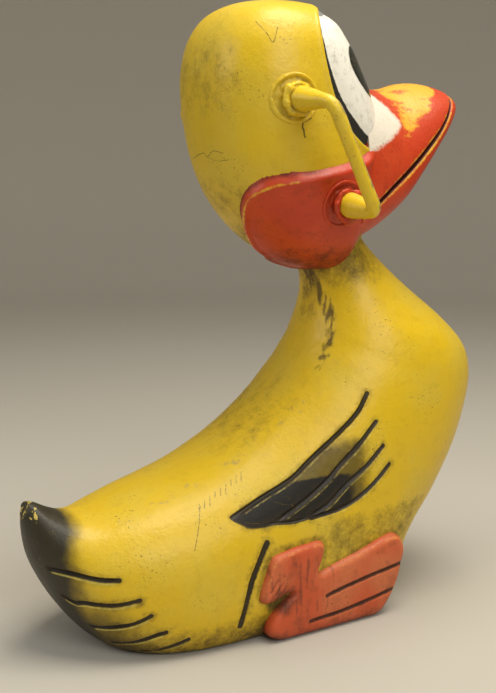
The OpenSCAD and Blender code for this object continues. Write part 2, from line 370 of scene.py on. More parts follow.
@dataclass(frozen=True)
class Loft:
    """A body through cross-sections, each in a plane that holds the Y direction.

    A station is back x, back z, front x, front z, half width, the place of the widest point
    from back 0 to front 1, and the roundness exponents of the back half and of the front half.
    """

    stations: tuple[tuple[float, ...], ...]
    floor: float = -1000.0
    floor_blend: float = 8.0
    samples: int = 900

    def at(self, u: Values) -> Points:
        """The stations' numbers at places u, where whole numbers are the stations themselves."""
        table = smooth_line(self.stations, per_span=64)
        along = np.linspace(0.0, len(self.stations) - 1.0, len(table))
        return np.stack([np.interp(u, along, table[:, i]) for i in range(table.shape[1])], axis=1)

    def spaced(self, step: float, first: float = 0.0, last: float | None = None) -> Values:
        """Places whose sections are at most step apart.

        Args:
            step: The most that two neighbouring sections' ends may be apart.
            first: The first place.
            last: The last place, or None for the last station.

        Returns:
            The places.
        """
        end = len(self.stations) - 1.0 if last is None else last
        u = np.linspace(first, end, 3000)
        table = self.at(u)
        moves = np.maximum(np.linalg.norm(np.diff(table[:, 0:2], axis=0), axis=1),
                           np.linalg.norm(np.diff(table[:, 2:4], axis=0), axis=1))
        moves = np.maximum(moves, np.abs(np.diff(table[:, 4])))
        travelled = np.concatenate([[0.0], np.cumsum(moves)])
        count = max(4, int(math.ceil(travelled[-1] / step)) + 1)
        return np.interp(np.linspace(0.0, travelled[-1], count), travelled, u)

    def rings(self, u: Values, segments: int, grow: float = 0.0) -> Points:
        """Rings of evenly spaced points, which start at the back and pass down the right side.

        Args:
            u: The places of the rings.
            segments: The number of points in a ring, an even number.
            grow: How far the sections are grown outwards.

        Returns:
            Rings by points by 3.
        """
        half = segments // 2
        a = np.linspace(0.0, math.pi, self.samples)
        c, s = np.cos(a), np.sin(a)
        found = np.empty((len(u), segments, 3))
        for i, row in enumerate(self.at(u)):
            back, front = row[0:2], row[2:4]
            reach = np.linalg.norm(front - back)
            rear = c >= 0
            power = 2.0 / np.where(rear, row[6], row[7])
            depth = np.where(rear, row[5], 1.0 - row[5]) * reach + grow
            along = row[5] * reach - np.sign(c) * depth * np.abs(c) ** power
            across = -(row[4] + grow) * np.abs(s) ** power
            flat = back + along[:, None] * (front - back) / reach
            z = self.rest(flat[:, 1])
            line = np.stack([flat[:, 0], across, z], axis=1)
            line[0, 1] = line[-1, 1] = 0.0
            run = np.concatenate([[0.0], np.cumsum(np.linalg.norm(np.diff(line, axis=0), axis=1))])
            even = np.linspace(0.0, run[-1], half + 1)
            right = np.stack([np.interp(even, run, line[:, k]) for k in range(3)], axis=1)
            found[i, : half + 1] = right
            found[i, half + 1:] = right[half - 1:0:-1] * (1.0, -1.0, 1.0)
        return found

    def rest(self, z: Values) -> Values:
        """Heights that never pass below the floor, with a soft turn into it."""
        over = z - self.floor
        blend = self.floor_blend
        soft = (over + blend) ** 2 / (4.0 * blend)
        return self.floor + np.where(over > blend, over, np.where(over < -blend, 0.0, soft))

    def body(self, name: str, step: float, segments: int, grow: float = 0.0, first: float = 0.0,
             last: float | None = None) -> bpy.types.Object:
        """The closed body, with small rounded ends.

        Args:
            name: The piece's name.
            step: The most that two neighbouring rings are apart.
            segments: The number of points in a ring.
            grow: How far the body is grown outwards.
            first: The place where it starts.
            last: The place where it ends, or None for the last station.

        Returns:
            The piece.
        """
        rings = self.rings(self.spaced(step, first, last), segments, grow)
        start, end = rings[0].mean(0), rings[-1].mean(0)
        shares = (0.3, 0.62, 0.86)
        opening = np.stack([start + share * (rings[0] - start) for share in shares])
        closing = np.stack([end + share * (rings[-1] - end) for share in reversed(shares)])
        return wrap(name, np.concatenate([opening, rings, closing]), start, end)


@dataclass(frozen=True)
class Groove:
    """A cast groove: the line that it follows on the right side, its width and its depth."""

    line: tuple[tuple[float, float, float], ...]
    width: float = 6.6
    depth: float = 3.2
    taper: float = 0.10

    def points(self, side: Side) -> Points:
        """The groove's smooth line on one side of the duck."""
        return smooth_line([(x, -y * side.value, z) for x, y, z in self.line], per_span=5)

    def cut(self, points: Points, side: Side) -> tuple[Values, Values, Values]:
        """How deep the groove is at each point, its distance from the line, and its lower lip."""
        line = self.points(side)
        gap, share = nearest(points, line, reach=16.0)
        ends = step_up(share, -0.02, self.taper) * step_up(1.0 - share, -0.02, self.taper)
        profile = bump_at(gap, 0.0, self.width / 2.0)
        run = np.concatenate([[0.0], np.cumsum(np.linalg.norm(np.diff(line, axis=0), axis=1))])
        height = np.interp(share, run / run[-1], line[:, 2])
        # Just below the line: the pale lower lip, a worn edge and a painted highlight
        lip = bump_at(gap, 0.5 * self.width + 1.1, 2.6) * step_up(height - points[:, 2], 0.5, 2.5) * ends
        return self.depth * profile * (0.25 + 0.75 * ends), gap, lip


# ---- Finishes ---------------------------------------------------------------


def linear(code: str) -> tuple[float, float, float, float]:
    """Turns an sRGB hex code into a linear colour."""
    parts = [int(code[i:i + 2], 16) / 255.0 for i in (1, 3, 5)]
    curve = [p / 12.92 if p <= 0.04045 else ((p + 0.055) / 1.055) ** 2.4 for p in parts]
    return (curve[0], curve[1], curve[2], 1.0)


def add_node(tree: bpy.types.NodeTree, kind: str, inputs: dict | None = None,
             **settings) -> bpy.types.Node:
    """Adds a shader node.

    Args:
        tree: The material's node tree.
        kind: The node's type, without its ShaderNode prefix.
        inputs: For each input, by name or number, a value or a socket to link from.
        **settings: The node's own properties.

    Returns:
        The node.
    """
    node = tree.nodes.new("ShaderNode" + kind)
    for key, value in settings.items():
        setattr(node, key, value)
    for key, value in (inputs or {}).items():
        if isinstance(value, bpy.types.NodeSocket):
            tree.links.new(value, node.inputs[key])
        else:
            node.inputs[key].default_value = value
    return node


@dataclass(frozen=True)
class PaintLayer:
    """Paint that covers the places where a vertex attribute passes an edge value.

    wobble moves the edge in and out with noise of wobble_size millimetres, and cover is how
    much of what lies below it hides.
    """

    attribute: str
    colour: str
    edge: float = 0.5
    soft: float = 0.04
    wobble: float = 0.1
    wobble_size: float = 6.0
    cover: float = 1.0
    roughness: float | None = None


@dataclass(frozen=True)
class Enamel:
    """Old gloss enamel, brushed over a sand-cast aluminium skin.

    It gives the eye a satin gloss with a fine orange peel, the slow waves of the casting below it,
    sun-faded patches, scratches, specks of dirt, and smudges with painted shade in the recesses.
    """

    name: str
    fresh: str
    faded: str
    deep: str
    dirt_and_shade: str = "#33270f"
    under_and_highlight: str = "#8f8a7c"
    layers: tuple[PaintLayer, ...] = ()
    roughness: float = 0.36
    fade_amount: float = 0.55
    blotch_amount: float = 0.22
    speck_amount: float = 0.8
    scratch_amount: float = 0.7
    mask_wobble: float = 0.75
    wave_mm: float = 0.6
    peel_mm: float = 0.32
    pit_mm: float = 0.6

    def build(self) -> bpy.types.Material:
        """Makes the material.

        Returns:
            The material, with its node tree.
        """
        material = bpy.data.materials.new(self.name)
        material.use_nodes = True
        tree = material.node_tree
        tree.nodes.clear()
        place = add_node(tree, "TexCoord").outputs["Object"]
        slow = self.cloud(tree, place, 95.0, 3.0, 0.55)
        middle = self.cloud(tree, place, 16.0, 4.0, 0.6)
        small = self.cloud(tree, place, 4.5, 3.0, 0.6)
        colour = self.blend(tree, self.slope(tree, slow, 0.42, 0.66, self.fade_amount),
                            linear(self.fresh), linear(self.faded))
        colour = self.blend(tree, self.slope(tree, middle, 0.5, 0.75, self.blotch_amount),
                            colour, linear(self.deep))
        rough = self.slope(tree, slow, 0.3, 0.7, 0.1, self.roughness)
        height = self.total(tree, ((self.cloud(tree, place, 42.0, 1.0, 0.4), self.wave_mm),
                                   (self.cloud(tree, place, 9.0, 2.0, 0.5), self.pit_mm),
                                   (self.cloud(tree, place, 3.4, 2.0, 0.5), self.peel_mm)))
        for layer in self.layers:
            mask = self.layer_mask(tree, layer, place)
            colour = self.blend(tree, mask, colour, linear(layer.colour))
            if layer.roughness is not None:
                rough = self.mix_value(tree, mask, rough, layer.roughness)
        scratch = self.scratches(tree, place)
        speck = self.specks(tree, place)
        colour = self.blend(tree, scratch, colour, linear(self.deep))
        colour = self.blend(tree, speck, colour, linear(self.dirt_and_shade))
        # The under-colour where paint is worn, and on the feet a painted highlight on the top edge
        wear_and_highlight = self.attribute_mask(tree, "wear_and_highlight", middle, small, 0.62, 0.16)
        colour = self.blend(tree, wear_and_highlight, colour, linear(self.under_and_highlight))
        # Dirt and painted shade, laid in the dirt colour where the mask says
        grime_and_shade = self.attribute_mask(tree, "grime_and_shade", middle, small, 0.52, 0.4)
        colour = self.blend(tree, grime_and_shade, colour, linear(self.dirt_and_shade))
        rough = self.mix_value(tree, grime_and_shade, rough, 0.75)
        height = self.total(tree, ((height, 1000.0), (scratch, -0.05)))
        bump = add_node(tree, "Bump", {"Height": height, "Strength": 1.0, "Distance": 1.0})
        shader = add_node(tree, "BsdfPrincipled", {
            "Base Color": colour, "Roughness": rough, "Normal": bump.outputs["Normal"],
            "IOR": 1.43, "Coat Weight": 0.07, "Coat Roughness": 0.2})
        add_node(tree, "OutputMaterial", {"Surface": shader.outputs["BSDF"]})
        return material

    def cloud(self, tree: bpy.types.NodeTree, place: bpy.types.NodeSocket, size: float,
              detail: float, rough: float) -> bpy.types.NodeSocket:
        """Cloudy noise whose lumps are about size millimetres across."""
        node = add_node(tree, "TexNoise", {"Vector": place, "Scale": 1.0 / (size * MM),
                                           "Detail": detail, "Roughness": rough})
        return node.outputs["Fac"]

    def blend(self, tree: bpy.types.NodeTree, factor: bpy.types.NodeSocket, below: object,
              above: object) -> bpy.types.NodeSocket:
        """One colour laid over another where factor is high."""
        node = add_node(tree, "Mix", {0: factor, 6: below, 7: above}, data_type="RGBA")
        return node.outputs[2]

    def mix_value(self, tree: bpy.types.NodeTree, factor: bpy.types.NodeSocket, below: object,
                  above: object) -> bpy.types.NodeSocket:
        """One number in place of another where factor is high."""
        node = add_node(tree, "Mix", {0: factor, 2: below, 3: above}, data_type="FLOAT")
        return node.outputs[0]

    def slope(self, tree: bpy.types.NodeTree, value: bpy.types.NodeSocket, low: float, high: float,
              top: float, bottom: float = 0.0) -> bpy.types.NodeSocket:
        """Maps low to bottom and high to bottom plus top, and holds the ends."""
        node = add_node(tree, "MapRange", {0: value, 1: low, 2: high, 3: bottom, 4: bottom + top},
                        interpolation_type="SMOOTHSTEP")
        return node.outputs[0]

    def arithmetic(self, tree: bpy.types.NodeTree, operation: str, first: object,
                   second: object) -> bpy.types.NodeSocket:
        """One sum, product or comparison."""
        node = add_node(tree, "Math", {0: first, 1: second}, operation=operation)
        return node.outputs[0]

    def total(self, tree: bpy.types.NodeTree, parts: tuple) -> bpy.types.NodeSocket:
        """The sum of heights, each a pattern and its weight in millimetres, in metres."""
        found = None
        for socket, weight in parts:
            part = self.arithmetic(tree, "MULTIPLY", socket, weight * MM)
            found = part if found is None else self.arithmetic(tree, "ADD", found, part)
        return found

    def layer_mask(self, tree: bpy.types.NodeTree, layer: PaintLayer,
                   place: bpy.types.NodeSocket) -> bpy.types.NodeSocket:
        """Where a paint layer lies, with its uneven edge."""
        value = add_node(tree, "Attribute", attribute_name=layer.attribute).outputs["Fac"]
        uneven = self.cloud(tree, place, layer.wobble_size, 3.0, 0.6)
        shift = self.arithmetic(tree, "MULTIPLY_ADD", uneven, 2.0 * layer.wobble)
        shift.node.inputs[2].default_value = -layer.wobble
        moved = self.arithmetic(tree, "ADD", value, shift)
        return self.slope(tree, moved, layer.edge - layer.soft, layer.edge + layer.soft, layer.cover)

    def attribute_mask(self, tree: bpy.types.NodeTree, name: str, middle: bpy.types.NodeSocket,
                       small: bpy.types.NodeSocket, edge: float,
                       soft: float) -> bpy.types.NodeSocket:
        """Where worn paint with painted highlight, or smudges with painted shade, show: an attribute broken
        up by noise.
        """
        value = add_node(tree, "Attribute", attribute_name=name).outputs["Fac"]
        broken = self.arithmetic(tree, "MULTIPLY_ADD", middle, self.mask_wobble)
        broken.node.inputs[2].default_value = -0.5 * self.mask_wobble
        finer = self.arithmetic(tree, "MULTIPLY_ADD", small, 0.6 * self.mask_wobble)
        finer.node.inputs[2].default_value = -0.3 * self.mask_wobble
        noise_sum = self.arithmetic(tree, "ADD", broken, finer)
        gate = self.slope(tree, value, 0.02, 0.25, 1.0)
        moved = self.arithmetic(tree, "ADD", value, self.arithmetic(tree, "MULTIPLY", noise_sum, gate))
        return self.slope(tree, moved, edge - soft, edge + soft, 0.92)

    def scratches(self, tree: bpy.types.NodeTree, place: bpy.types.NodeSocket) -> bpy.types.NodeSocket:
        """Fine scratches, thin lines of stretched noise in two directions."""
        found = None
        for turn, size in (((0.3, 0.9, 0.4), 26.0), ((1.1, 0.2, 1.9), 34.0)):
            mapped = add_node(tree, "Mapping", {"Vector": place, "Rotation": turn,
                                                "Scale": (1.0, 9.0, 9.0)})
            value = self.cloud(tree, mapped.outputs["Vector"], size * 3.0, 1.0, 0.5)
            middle = self.arithmetic(tree, "SUBTRACT", value, 0.5)
            line = self.slope(tree, self.arithmetic(tree, "ABSOLUTE", middle, 0.0), 0.0, 0.004, -1.0, 1.0)
            gate = self.slope(tree, self.cloud(tree, place, size, 2.0, 0.5), 0.58, 0.66, 1.0)
            part = self.arithmetic(tree, "MULTIPLY", line, gate)
            found = part if found is None else self.arithmetic(tree, "MAXIMUM", found, part)
        return self.arithmetic(tree, "MULTIPLY", found, self.scratch_amount)

    def specks(self, tree: bpy.types.NodeTree, place: bpy.types.NodeSocket) -> bpy.types.NodeSocket:
        """Clusters of dirt specks and small chips, one to three millimetres across."""
        dot = self.slope(tree, self.cloud(tree, place, 2.4, 2.0, 0.55), 0.63, 0.69, 1.0)
        where = self.slope(tree, self.cloud(tree, place, 48.0, 3.0, 0.6), 0.5, 0.66, 1.0)
        rare = self.slope(tree, self.cloud(tree, place, 5.2, 3.0, 0.6), 0.76, 0.8, 1.0)
        both = self.arithmetic(tree, "MAXIMUM", self.arithmetic(tree, "MULTIPLY", dot, where), rare)
        return self.arithmetic(tree, "MULTIPLY", both, self.speck_amount)


@dataclass(frozen=True)
class Metal:
    """Bare metal: sand-cast aluminium, rolled steel plate or zinc-plated steel.

    It gives the eye a dull grey shine with slow stains and the grain of its making.
    """

    name: str
    colour: str
    stain: str
    roughness: float
    grain_mm: float
    grain_height: float
    stain_amount: float

    def build(self) -> bpy.types.Material:
        """Makes the material.

        Returns:
            The material, with its node tree.
        """
        material = bpy.data.materials.new(self.name)
        material.use_nodes = True
        tree = material.node_tree
        tree.nodes.clear()
        place = add_node(tree, "TexCoord").outputs["Object"]
        slow = add_node(tree, "TexNoise", {"Vector": place, "Scale": 30.0, "Detail": 5.0,
                                           "Roughness": 0.65}).outputs["Fac"]
        grain = add_node(tree, "TexNoise", {"Vector": place, "Scale": 1.0 / (self.grain_mm * MM),
                                            "Detail": 3.0}).outputs["Fac"]
        mask = add_node(tree, "MapRange", {0: slow, 1: 0.45, 2: 0.7, 3: 0.0, 4: self.stain_amount})
        colour = add_node(tree, "Mix", {0: mask.outputs[0], 6: linear(self.colour),
                                        7: linear(self.stain)}, data_type="RGBA")
        rough = add_node(tree, "MapRange", {0: grain, 1: 0.3, 2: 0.7, 3: self.roughness,
                                            4: self.roughness + 0.2})
        height = add_node(tree, "Math", {0: grain, 1: self.grain_height * MM}, operation="MULTIPLY")
        bump = add_node(tree, "Bump", {"Height": height.outputs[0], "Strength": 1.0, "Distance": 1.0})
        shader = add_node(tree, "BsdfPrincipled", {
            "Base Color": colour.outputs[2], "Roughness": rough.outputs[0],
            "Normal": bump.outputs["Normal"], "Metallic": 1.0})
        add_node(tree, "OutputMaterial", {"Surface": shader.outputs["BSDF"]})
        return material


@dataclass(frozen=True)
class Wardrobe:
    """Every finish of the duck, built once and shared."""

    body: bpy.types.Material
    head: bpy.types.Material
    bill: bpy.types.Material
    foot: bpy.types.Material
    handle: bpy.types.Material
    head_pad: bpy.types.Material
    cast: bpy.types.Material
    plate: bpy.types.Material
    zinc: bpy.types.Material


def make_wardrobe() -> Wardrobe:
    """Builds the finishes.

    Returns:
        The finishes by name.
    """
    black = "#100f0b"
    # Brown cracks and scuffs, where the enamel has split and let the dirt in
    scuff = PaintLayer("scuff", "#33240e", 0.8, 0.1, 0.14, 3.0, 0.85)
    # The body's yellow: sun-faded and streaked with dirt, with black sprayed on its wings and tail
    body = Enamel("yellow_enamel_body", "#d9b516", "#d2b83e", "#b48e12", dirt_and_shade="#3a2a0c", layers=(
        PaintLayer("mist", "#3a300a", 0.5, 0.5, 0.3, 9.0, 0.84, 0.45),
        PaintLayer("smoke", "#3b3416", 0.5, 0.5, 0.3, 14.0, 0.8, 0.5),
        PaintLayer("fill", "#0b0a08", 0.5, 0.16, 0.16, 7.0, 0.97, 0.7),
        PaintLayer("tail", "#24211a", 0.5, 0.09, 0.07, 12.0, 0.93, 0.5),
        # Pale lower lips of the grooves: a worn edge and a painted highlight
        PaintLayer("lip", "#dccb62", 0.66, 0.24, 0.4, 6.0, 0.7, 0.4),
        PaintLayer("runs", "#33240c", 0.5, 0.14, 0.16, 3.5, 0.82, 0.6),
        PaintLayer("groove", black, 0.74, 0.05, 0.05, 4.0, 0.97, 0.5),
        PaintLayer("chip", "#c9b35a", 0.6, 0.03, 0.45, 5.0, 1.0, 0.5), scuff))
    # The head's yellow, cleaner than the body's, with the painted eyes
    head = Enamel("yellow_enamel_head", "#d6b41a", "#d0b53a", "#ac8c16", speck_amount=0.7, layers=(
        PaintLayer("eye", "#e8e4d6", 0.5, 0.02, 0.02, 6.0, 1.0, 0.4),
        PaintLayer("streak", "#8d8974", 0.62, 0.2, 0.6, 9.0, 0.42),
        PaintLayer("pupil", "#23251f", 0.5, 0.03, 0.02, 6.0, 1.0, 0.2),
        PaintLayer("crevice", black, 0.5, 0.06, 0.06, 6.0, 0.98, 0.4), scuff))
    # Red-orange on the bill and cheeks, rubbed through to an older yellow on its edges
    bill = Enamel("orange_enamel", "#b93611", "#c5451c", "#8c2609", dirt_and_shade="#34140a", under_and_highlight="#dfa92e",
                  fade_amount=0.8, blotch_amount=0.45, layers=(
                      PaintLayer("eye", "#ddd6c4", 0.5, 0.12, 0.14, 6.0, 0.95, 0.4),))
    # Dull coral on the feet, chalky and stained along the ridges, with a paler painted highlight and wear on
    # the top edge, and painted shade in the toe grooves
    foot = Enamel("coral_enamel", "#c2522a", "#c66c40", "#843e1e", dirt_and_shade="#3f2412", under_and_highlight="#e08a48",
                  roughness=0.48, speck_amount=1.0, fade_amount=0.9, blotch_amount=0.5, layers=(
                      # Painted shade in the toe grooves and hatch lines, dark brown
                      PaintLayer("groove", "#3c2010", 0.79, 0.07, 0.08, 4.0, 0.82, 0.6),
                      PaintLayer("runs", "#5c3018", 0.62, 0.14, 0.2, 6.0, 0.6, 0.6)))
    # Smoother yellow on the grab handles, worn to grey metal by hands
    handle = Enamel("yellow_handle_enamel", "#dab81c", "#dcc040", "#a8861c", under_and_highlight="#6f6a5c",
                    wave_mm=0.25, pit_mm=0.3, blotch_amount=0.4)
    # The head's yellow without the eyes, for the upper bosses
    pad = Enamel("yellow_enamel_pad", head.fresh, head.faded, head.deep, speck_amount=0.6)
    # The last three are unpainted: raw casting inside, browned steel plate, and pale zinc on the bolts
    return Wardrobe(
        body.build(), head.build(), bill.build(), foot.build(), handle.build(), pad.build(),
        Metal("bare_aluminium", "#9a9b99", "#6c6a64", 0.5, 1.6, 0.12, 0.6).build(),
        Metal("bare_steel", "#76787a", "#6a4a33", 0.42, 1.2, 0.05, 0.55).build(),
        Metal("zinc_steel", "#a9adb0", "#8a8262", 0.32, 0.8, 0.02, 0.4).build())


# ---- Body -------------------------------------------------------------------


@dataclass(frozen=True)
class Torso:
    """The two body shells with the wing, the tail and the thigh lines cast into them."""

    wall: float = 6.0
    floor_thickness: float = 10.0
    mesh_step: float = 3.6
    segments: int = 264
    opening: tuple[float, float] = (124.0, 112.0)
    opening_x: float = 34.0
    bolt_span: tuple[float, float] = (152.0, 126.0)
    bolt_hole: float = 10.5
    stations: tuple = (
        (-316, 186, -324, 168, 10, .50, 2.0, 2.0), (-307, 184, -322, 148, 22, .50, 2.0, 2.0),
        (-292, 176, -316, 118, 38, .50, 2.0, 2.0), (-272, 168, -302, 86, 56, .50, 2.1, 2.0),
        (-248, 166, -280, 50, 76, .50, 2.2, 2.1), (-214, 174, -250, 14, 96, .50, 2.3, 2.4),
        (-180, 184, -210, -10, 109, .50, 2.3, 2.8), (-143, 194, -162, -22, 117, .50, 2.3, 3.3),
        (-106, 206, -108, -25, 121, .50, 2.3, 3.6), (-72, 222, -50, -25, 123, .50, 2.3, 3.6),
        (-40, 241, 14, -25, 124, .50, 2.3, 3.6), (-10, 264, 80, -25, 124, .50, 2.3, 3.6),
        (16, 288, 146, -12, 123, .50, 2.3, 3.2), (38, 310, 196, 60, 121, .50, 2.3, 2.6),
        (51, 324, 245, 116, 119, .50, 2.3, 2.4), (60, 337, 284, 173, 117, .50, 2.3, 2.3),
        (67, 350, 310, 228, 114, .50, 2.2, 2.2), (71, 363, 322, 278, 110, .48, 2.1, 2.2),
        (74, 376, 313, 320, 102, .46, 2.0, 2.2), (76, 388, 279, 360, 88, .46, 2.0, 2.1),
        (77, 402, 222, 406, 70, .48, 2.0, 2.0), (75, 420, 180, 442, 57, .50, 2.0, 2.0),
        (70, 438, 152, 470, 50, .50, 2.0, 2.0), (62, 456, 138, 492, 48, .50, 2.0, 2.0))
    wing: tuple[Groove, ...] = (
        Groove(((96, -102, 285), (79, -105, 263), (49, -103, 238), (11, -102, 213), (-20, -104, 193),
                (-62, -103, 176), (-103, -104, 159)), 8.0, 3.4),
        Groove(((102, -113, 250), (76, -114, 225), (48, -113, 203), (24, -115, 185),
                (-10, -117, 166), (-50, -118, 148)), 8.0, 3.4),
        Groove(((110, -119, 219), (84, -119, 197), (53, -119, 178), (24, -121, 158),
                (-4, -121, 148)), 8.0, 3.4),
        Groove(((119, -120, 194), (101, -121, 178), (74, -122, 161), (42, -123, 150),
                (-2, -121, 145)), 8.0, 3.4),
        Groove(((-103, -104, 159), (-95, -107, 150), (-78, -112, 144), (-53, -117, 147),
                (-28, -120, 145), (-4, -121, 147)), 5.0, 2.0))
    tail: tuple[Groove, ...] = (
        Groove(((-306, -33, 115), (-297, -46, 114), (-286, -58, 112), (-262, -77, 106),
                (-243, -88, 105))),
        Groove(((-291, -37, 80), (-281, -50, 74), (-274, -63, 76), (-248, -86, 76), (-223, -99, 81))),
        Groove(((-262, -52, 42), (-246, -80, 47), (-227, -94, 53), (-211, -103, 61))),
        Groove(((-240, -60, 20), (-220, -87, 27), (-205, -100, 34), (-193, -105, 38))),
        Groove(((-211, -78, 9), (-198, -86, 11), (-190, -95, 14), (-177, -103, 19), (-166, -108, 24))))
    thigh: Groove = Groove(((-65, -121, 125), (-74, -121, 108), (-84, -121, 87), (-89, -120, 72),
                            (-100, -117, 28)), 10.5, 3.8)
    crest: Groove = Groove(((-318, -6, 184), (-308, -24, 172), (-298, -38, 158), (-288, -49, 144),
                            (-280, -58, 134)), 16.0, -3.0)
    tail_edge: tuple = ((0, -238), (27, -252), (55, -273), (84, -285), (111, -289), (128, -292),
                        (142, -289), (159, -279), (169, -278), (190, -280))
    foot_line: tuple = ((-52, 42), (-63, 28), (-67, 15), (-62, 5), (-50, 0), (96, 0), (107, 4), (119, 18),
                        (131, 39), (137, 61), (143, 82), (135, 99), (126, 104), (106, 101), (72, 91),
                        (34, 82), (14, 76), (17, 105), (10, 117), (-28, 114), (-60, 108), (-76, 64))

    # Where dirt has run down the neck, and a scratch down the seat's right side
    neck_run: tuple = ((72, 0, 440), (80, -18, 408), (84, -38, 380), (76, -45, 350), (54, -57, 309))
    scratch: tuple = ((-134, -83, 172), (-143, -95, 157), (-156, -108, 130))
    ticks: int = 9
    tick_row: tuple = ((-134, -80, 174), (-72, -74, 203))
    tick_run: tuple = (-4.0, -7.0, -7.0)
    # The tail's grooves end behind this x; the pale lips of the wing's grooves, a worn edge and a painted
    # highlight, are weaker than theirs
    tail_end: float = -160.0
    wing_lip: float = 0.66
    mark_half_width: float = 0.45

    @property
    def form(self) -> Loft:
        """The outer form."""
        return Loft(self.stations, floor=0.0)

    def scuffs(self) -> tuple:
        """The scratch and the row of tick marks on the seat's right side."""
        first, last = np.array(self.tick_row, float)
        found = [(self.mark_half_width, self.scratch)]
        for i in range(self.ticks):
            top = first + (last - first) * i / (self.ticks - 1)
            found.append((self.mark_half_width,
                          (top, top + np.array(self.tick_run) * (0.7 + 0.3 * (i % 3)))))
        return tuple(found)

    def grooves(self) -> tuple[Groove, ...]:
        """Every groove of one side."""
        return self.wing + self.tail + (self.thigh,)

    def groove_gap(self, points: Points) -> Values:
        """Each point's distance from the nearest groove of either side."""
        gap = np.full(len(points), 999.0)
        for side in Side:
            for groove in self.grooves():
                gap = np.minimum(gap, nearest(points, groove.points(side), 14.0)[0])
        return gap

    def carve(self, piece: bpy.types.Object) -> None:
        """Cuts the grooves into the outer skin and stores where its paints lie."""
        points = points_of(piece)
        normals = normals_of(piece)
        depth = np.zeros(len(points))
        gap = np.full(len(points), 999.0)
        lip = np.zeros(len(points))
        for side in Side:
            for groove in self.grooves():
                deep, far, low = groove.cut(points, side)
                depth = np.maximum(depth, deep)
                gap = np.minimum(gap, far * 8.0 / max(groove.width, 8.0))
                lip = np.maximum(lip, low)
            depth += self.crest.cut(points, side)[0]
        seam = 0.22 * bump_at(points[:, 1], 0.0, 2.2)
        lip_strength = np.where(points[:, 0] < self.tail_end, 1.25, self.wing_lip)
        # The grooves' pale lower lips: a worn edge and a painted highlight where light falls on them
        mark(piece, "lip", lip * step_up(gap, 2.0, 3.6) * lip_strength)
        self.paint(piece, points, gap)
        move_points(piece, points - normals * (depth + seam)[:, None])

    def paint(self, piece: bpy.types.Object, points: Points, gap: Values) -> None:
        """Stores the masks of the black paint, the worn paint, and the dark smudges and painted shade.

        Args:
            piece: The outer skin.
            points: Its vertices before the grooves are cut.
            gap: Their distances from the nearest groove.
        """
        x, y, z = points.T
        mark(piece, "groove", 1.0 - gap / 12.0)
        mark(piece, "scuff", 0.8 - scuff_gap(points, self.scuffs()) / 5.0)
        upper = smooth_line([(p[0], p[2]) for p in self.wing[0].line], 5)
        lower = smooth_line([(p[0], p[2]) for p in self.wing[4].line], 5)
        right = smooth_line([(p[0], p[2]) for p in self.wing[3].line], 5)
        outline = np.vstack([upper, lower[1:], right[::-1]])
        flank = np.abs(y) > 60.0
        inside = np.where(flank, depth_inside(np.stack([x, z], 1), outline), -99.0)
        solid = step_up(z - 0.05 * x, 199.0, 183.0) * step_up(x, 96.0, 30.0)
        mark(piece, "fill", np.where(inside > -8.0, np.clip(0.5 + inside / 10.0, 0, 1) * solid, 0.0))
        mark(piece, "mist", step_up(z - 0.05 * x, 244.0, 212.0) * step_up(inside, -3.0, 3.0)
             * step_up(x, 104.0, 64.0))
        edge_z, edge_x = np.array(self.tail_edge).T
        black = np.interp(z, edge_z, edge_x) - x
        mark(piece, "tail", np.clip(0.5 + black / 60.0, 0, 1))
        smoke = step_up(black, -80.0, 2.0) * step_up(z, 110.0, 40.0)
        mark(piece, "smoke", np.maximum(smoke, 0.9 * step_up(black, -26.0, 4.0)))
        nub = step_up(x, -300.0, -312.0) * step_up(z, 150.0, 172.0)
        mark(piece, "chip", nub * 0.55)
        foot = np.abs(depth_inside(np.stack([x, z], 1), smooth_line(self.foot_line, 4, True)))
        # Dirt and painted shade on the flank beside the foot
        beside = step_up(foot, 13.0, 1.0) * step_up(np.abs(y), 76.0, 100.0)
        # Painted shade and dirt, darker towards the floor along the lower body
        low = step_up(z, 62.0, 4.0) * 0.64
        low += 0.35 * step_up(z, 70.0, 10.0) * step_up(x, -90.0, -60.0) * step_up(x, 150.0, 110.0)
        # Painted shade on the upper neck under the head, and a darker band down the middle of the neck's
        # back
        neck = step_up(z, 392.0, 440.0) * step_up(x, 190.0, 110.0) * 0.62
        neck = np.maximum(neck, 0.45 * step_up(np.abs(y), 34.0, 10.0) * step_up(z, 330.0, 400.0)
                          * step_up(x, 110.0, 80.0))
        # Painted shade in and beside the grooves
        rear = 0.4 * step_up(gap, 14.0, 3.0)
        # Painted shade under the rear of the body, which hangs above the floor
        tail_underside_shade = 0.55 * step_up(z, 60.0, 8.0) * step_up(x, -120.0, -190.0)
        soot = 0.46 * step_up(np.abs(y), 84.0, 112.0) * step_up(z, 150.0, 130.0) * step_up(x, -30.0, 40.0)
        dust = 0.3 * bump_at(x, -25.0, 110.0) * step_up(np.abs(y), 84.0, 50.0) * step_up(z, 150.0, 200.0)
        # Painted shade in the gap between the heel and the leg
        heel_gap_shade = np.where(np.abs(y) > 80.0, 0.85 * step_up(np.hypot(x + 50.0, z - 48.0), 28.0, 10.0), 0.0)
        mark(piece, "grime_and_shade", np.maximum.reduce([beside * 0.55, low, neck, rear, tail_underside_shade, soot, dust, heel_gap_shade]))
        mark(piece, "wear_and_highlight", self.seat_wear(points))
        run, along = nearest(points, smooth_line(self.neck_run, 5), 40.0)
        streaks = lumps(points * (1.0, 1.0, 0.08), 4.6, 2.2)
        value = (0.66 - 0.3 * along) * step_up(run, 22.0, 2.0) + 0.34 * streaks * step_up(run, 30.0, 12.0)
        mark(piece, "runs", value)

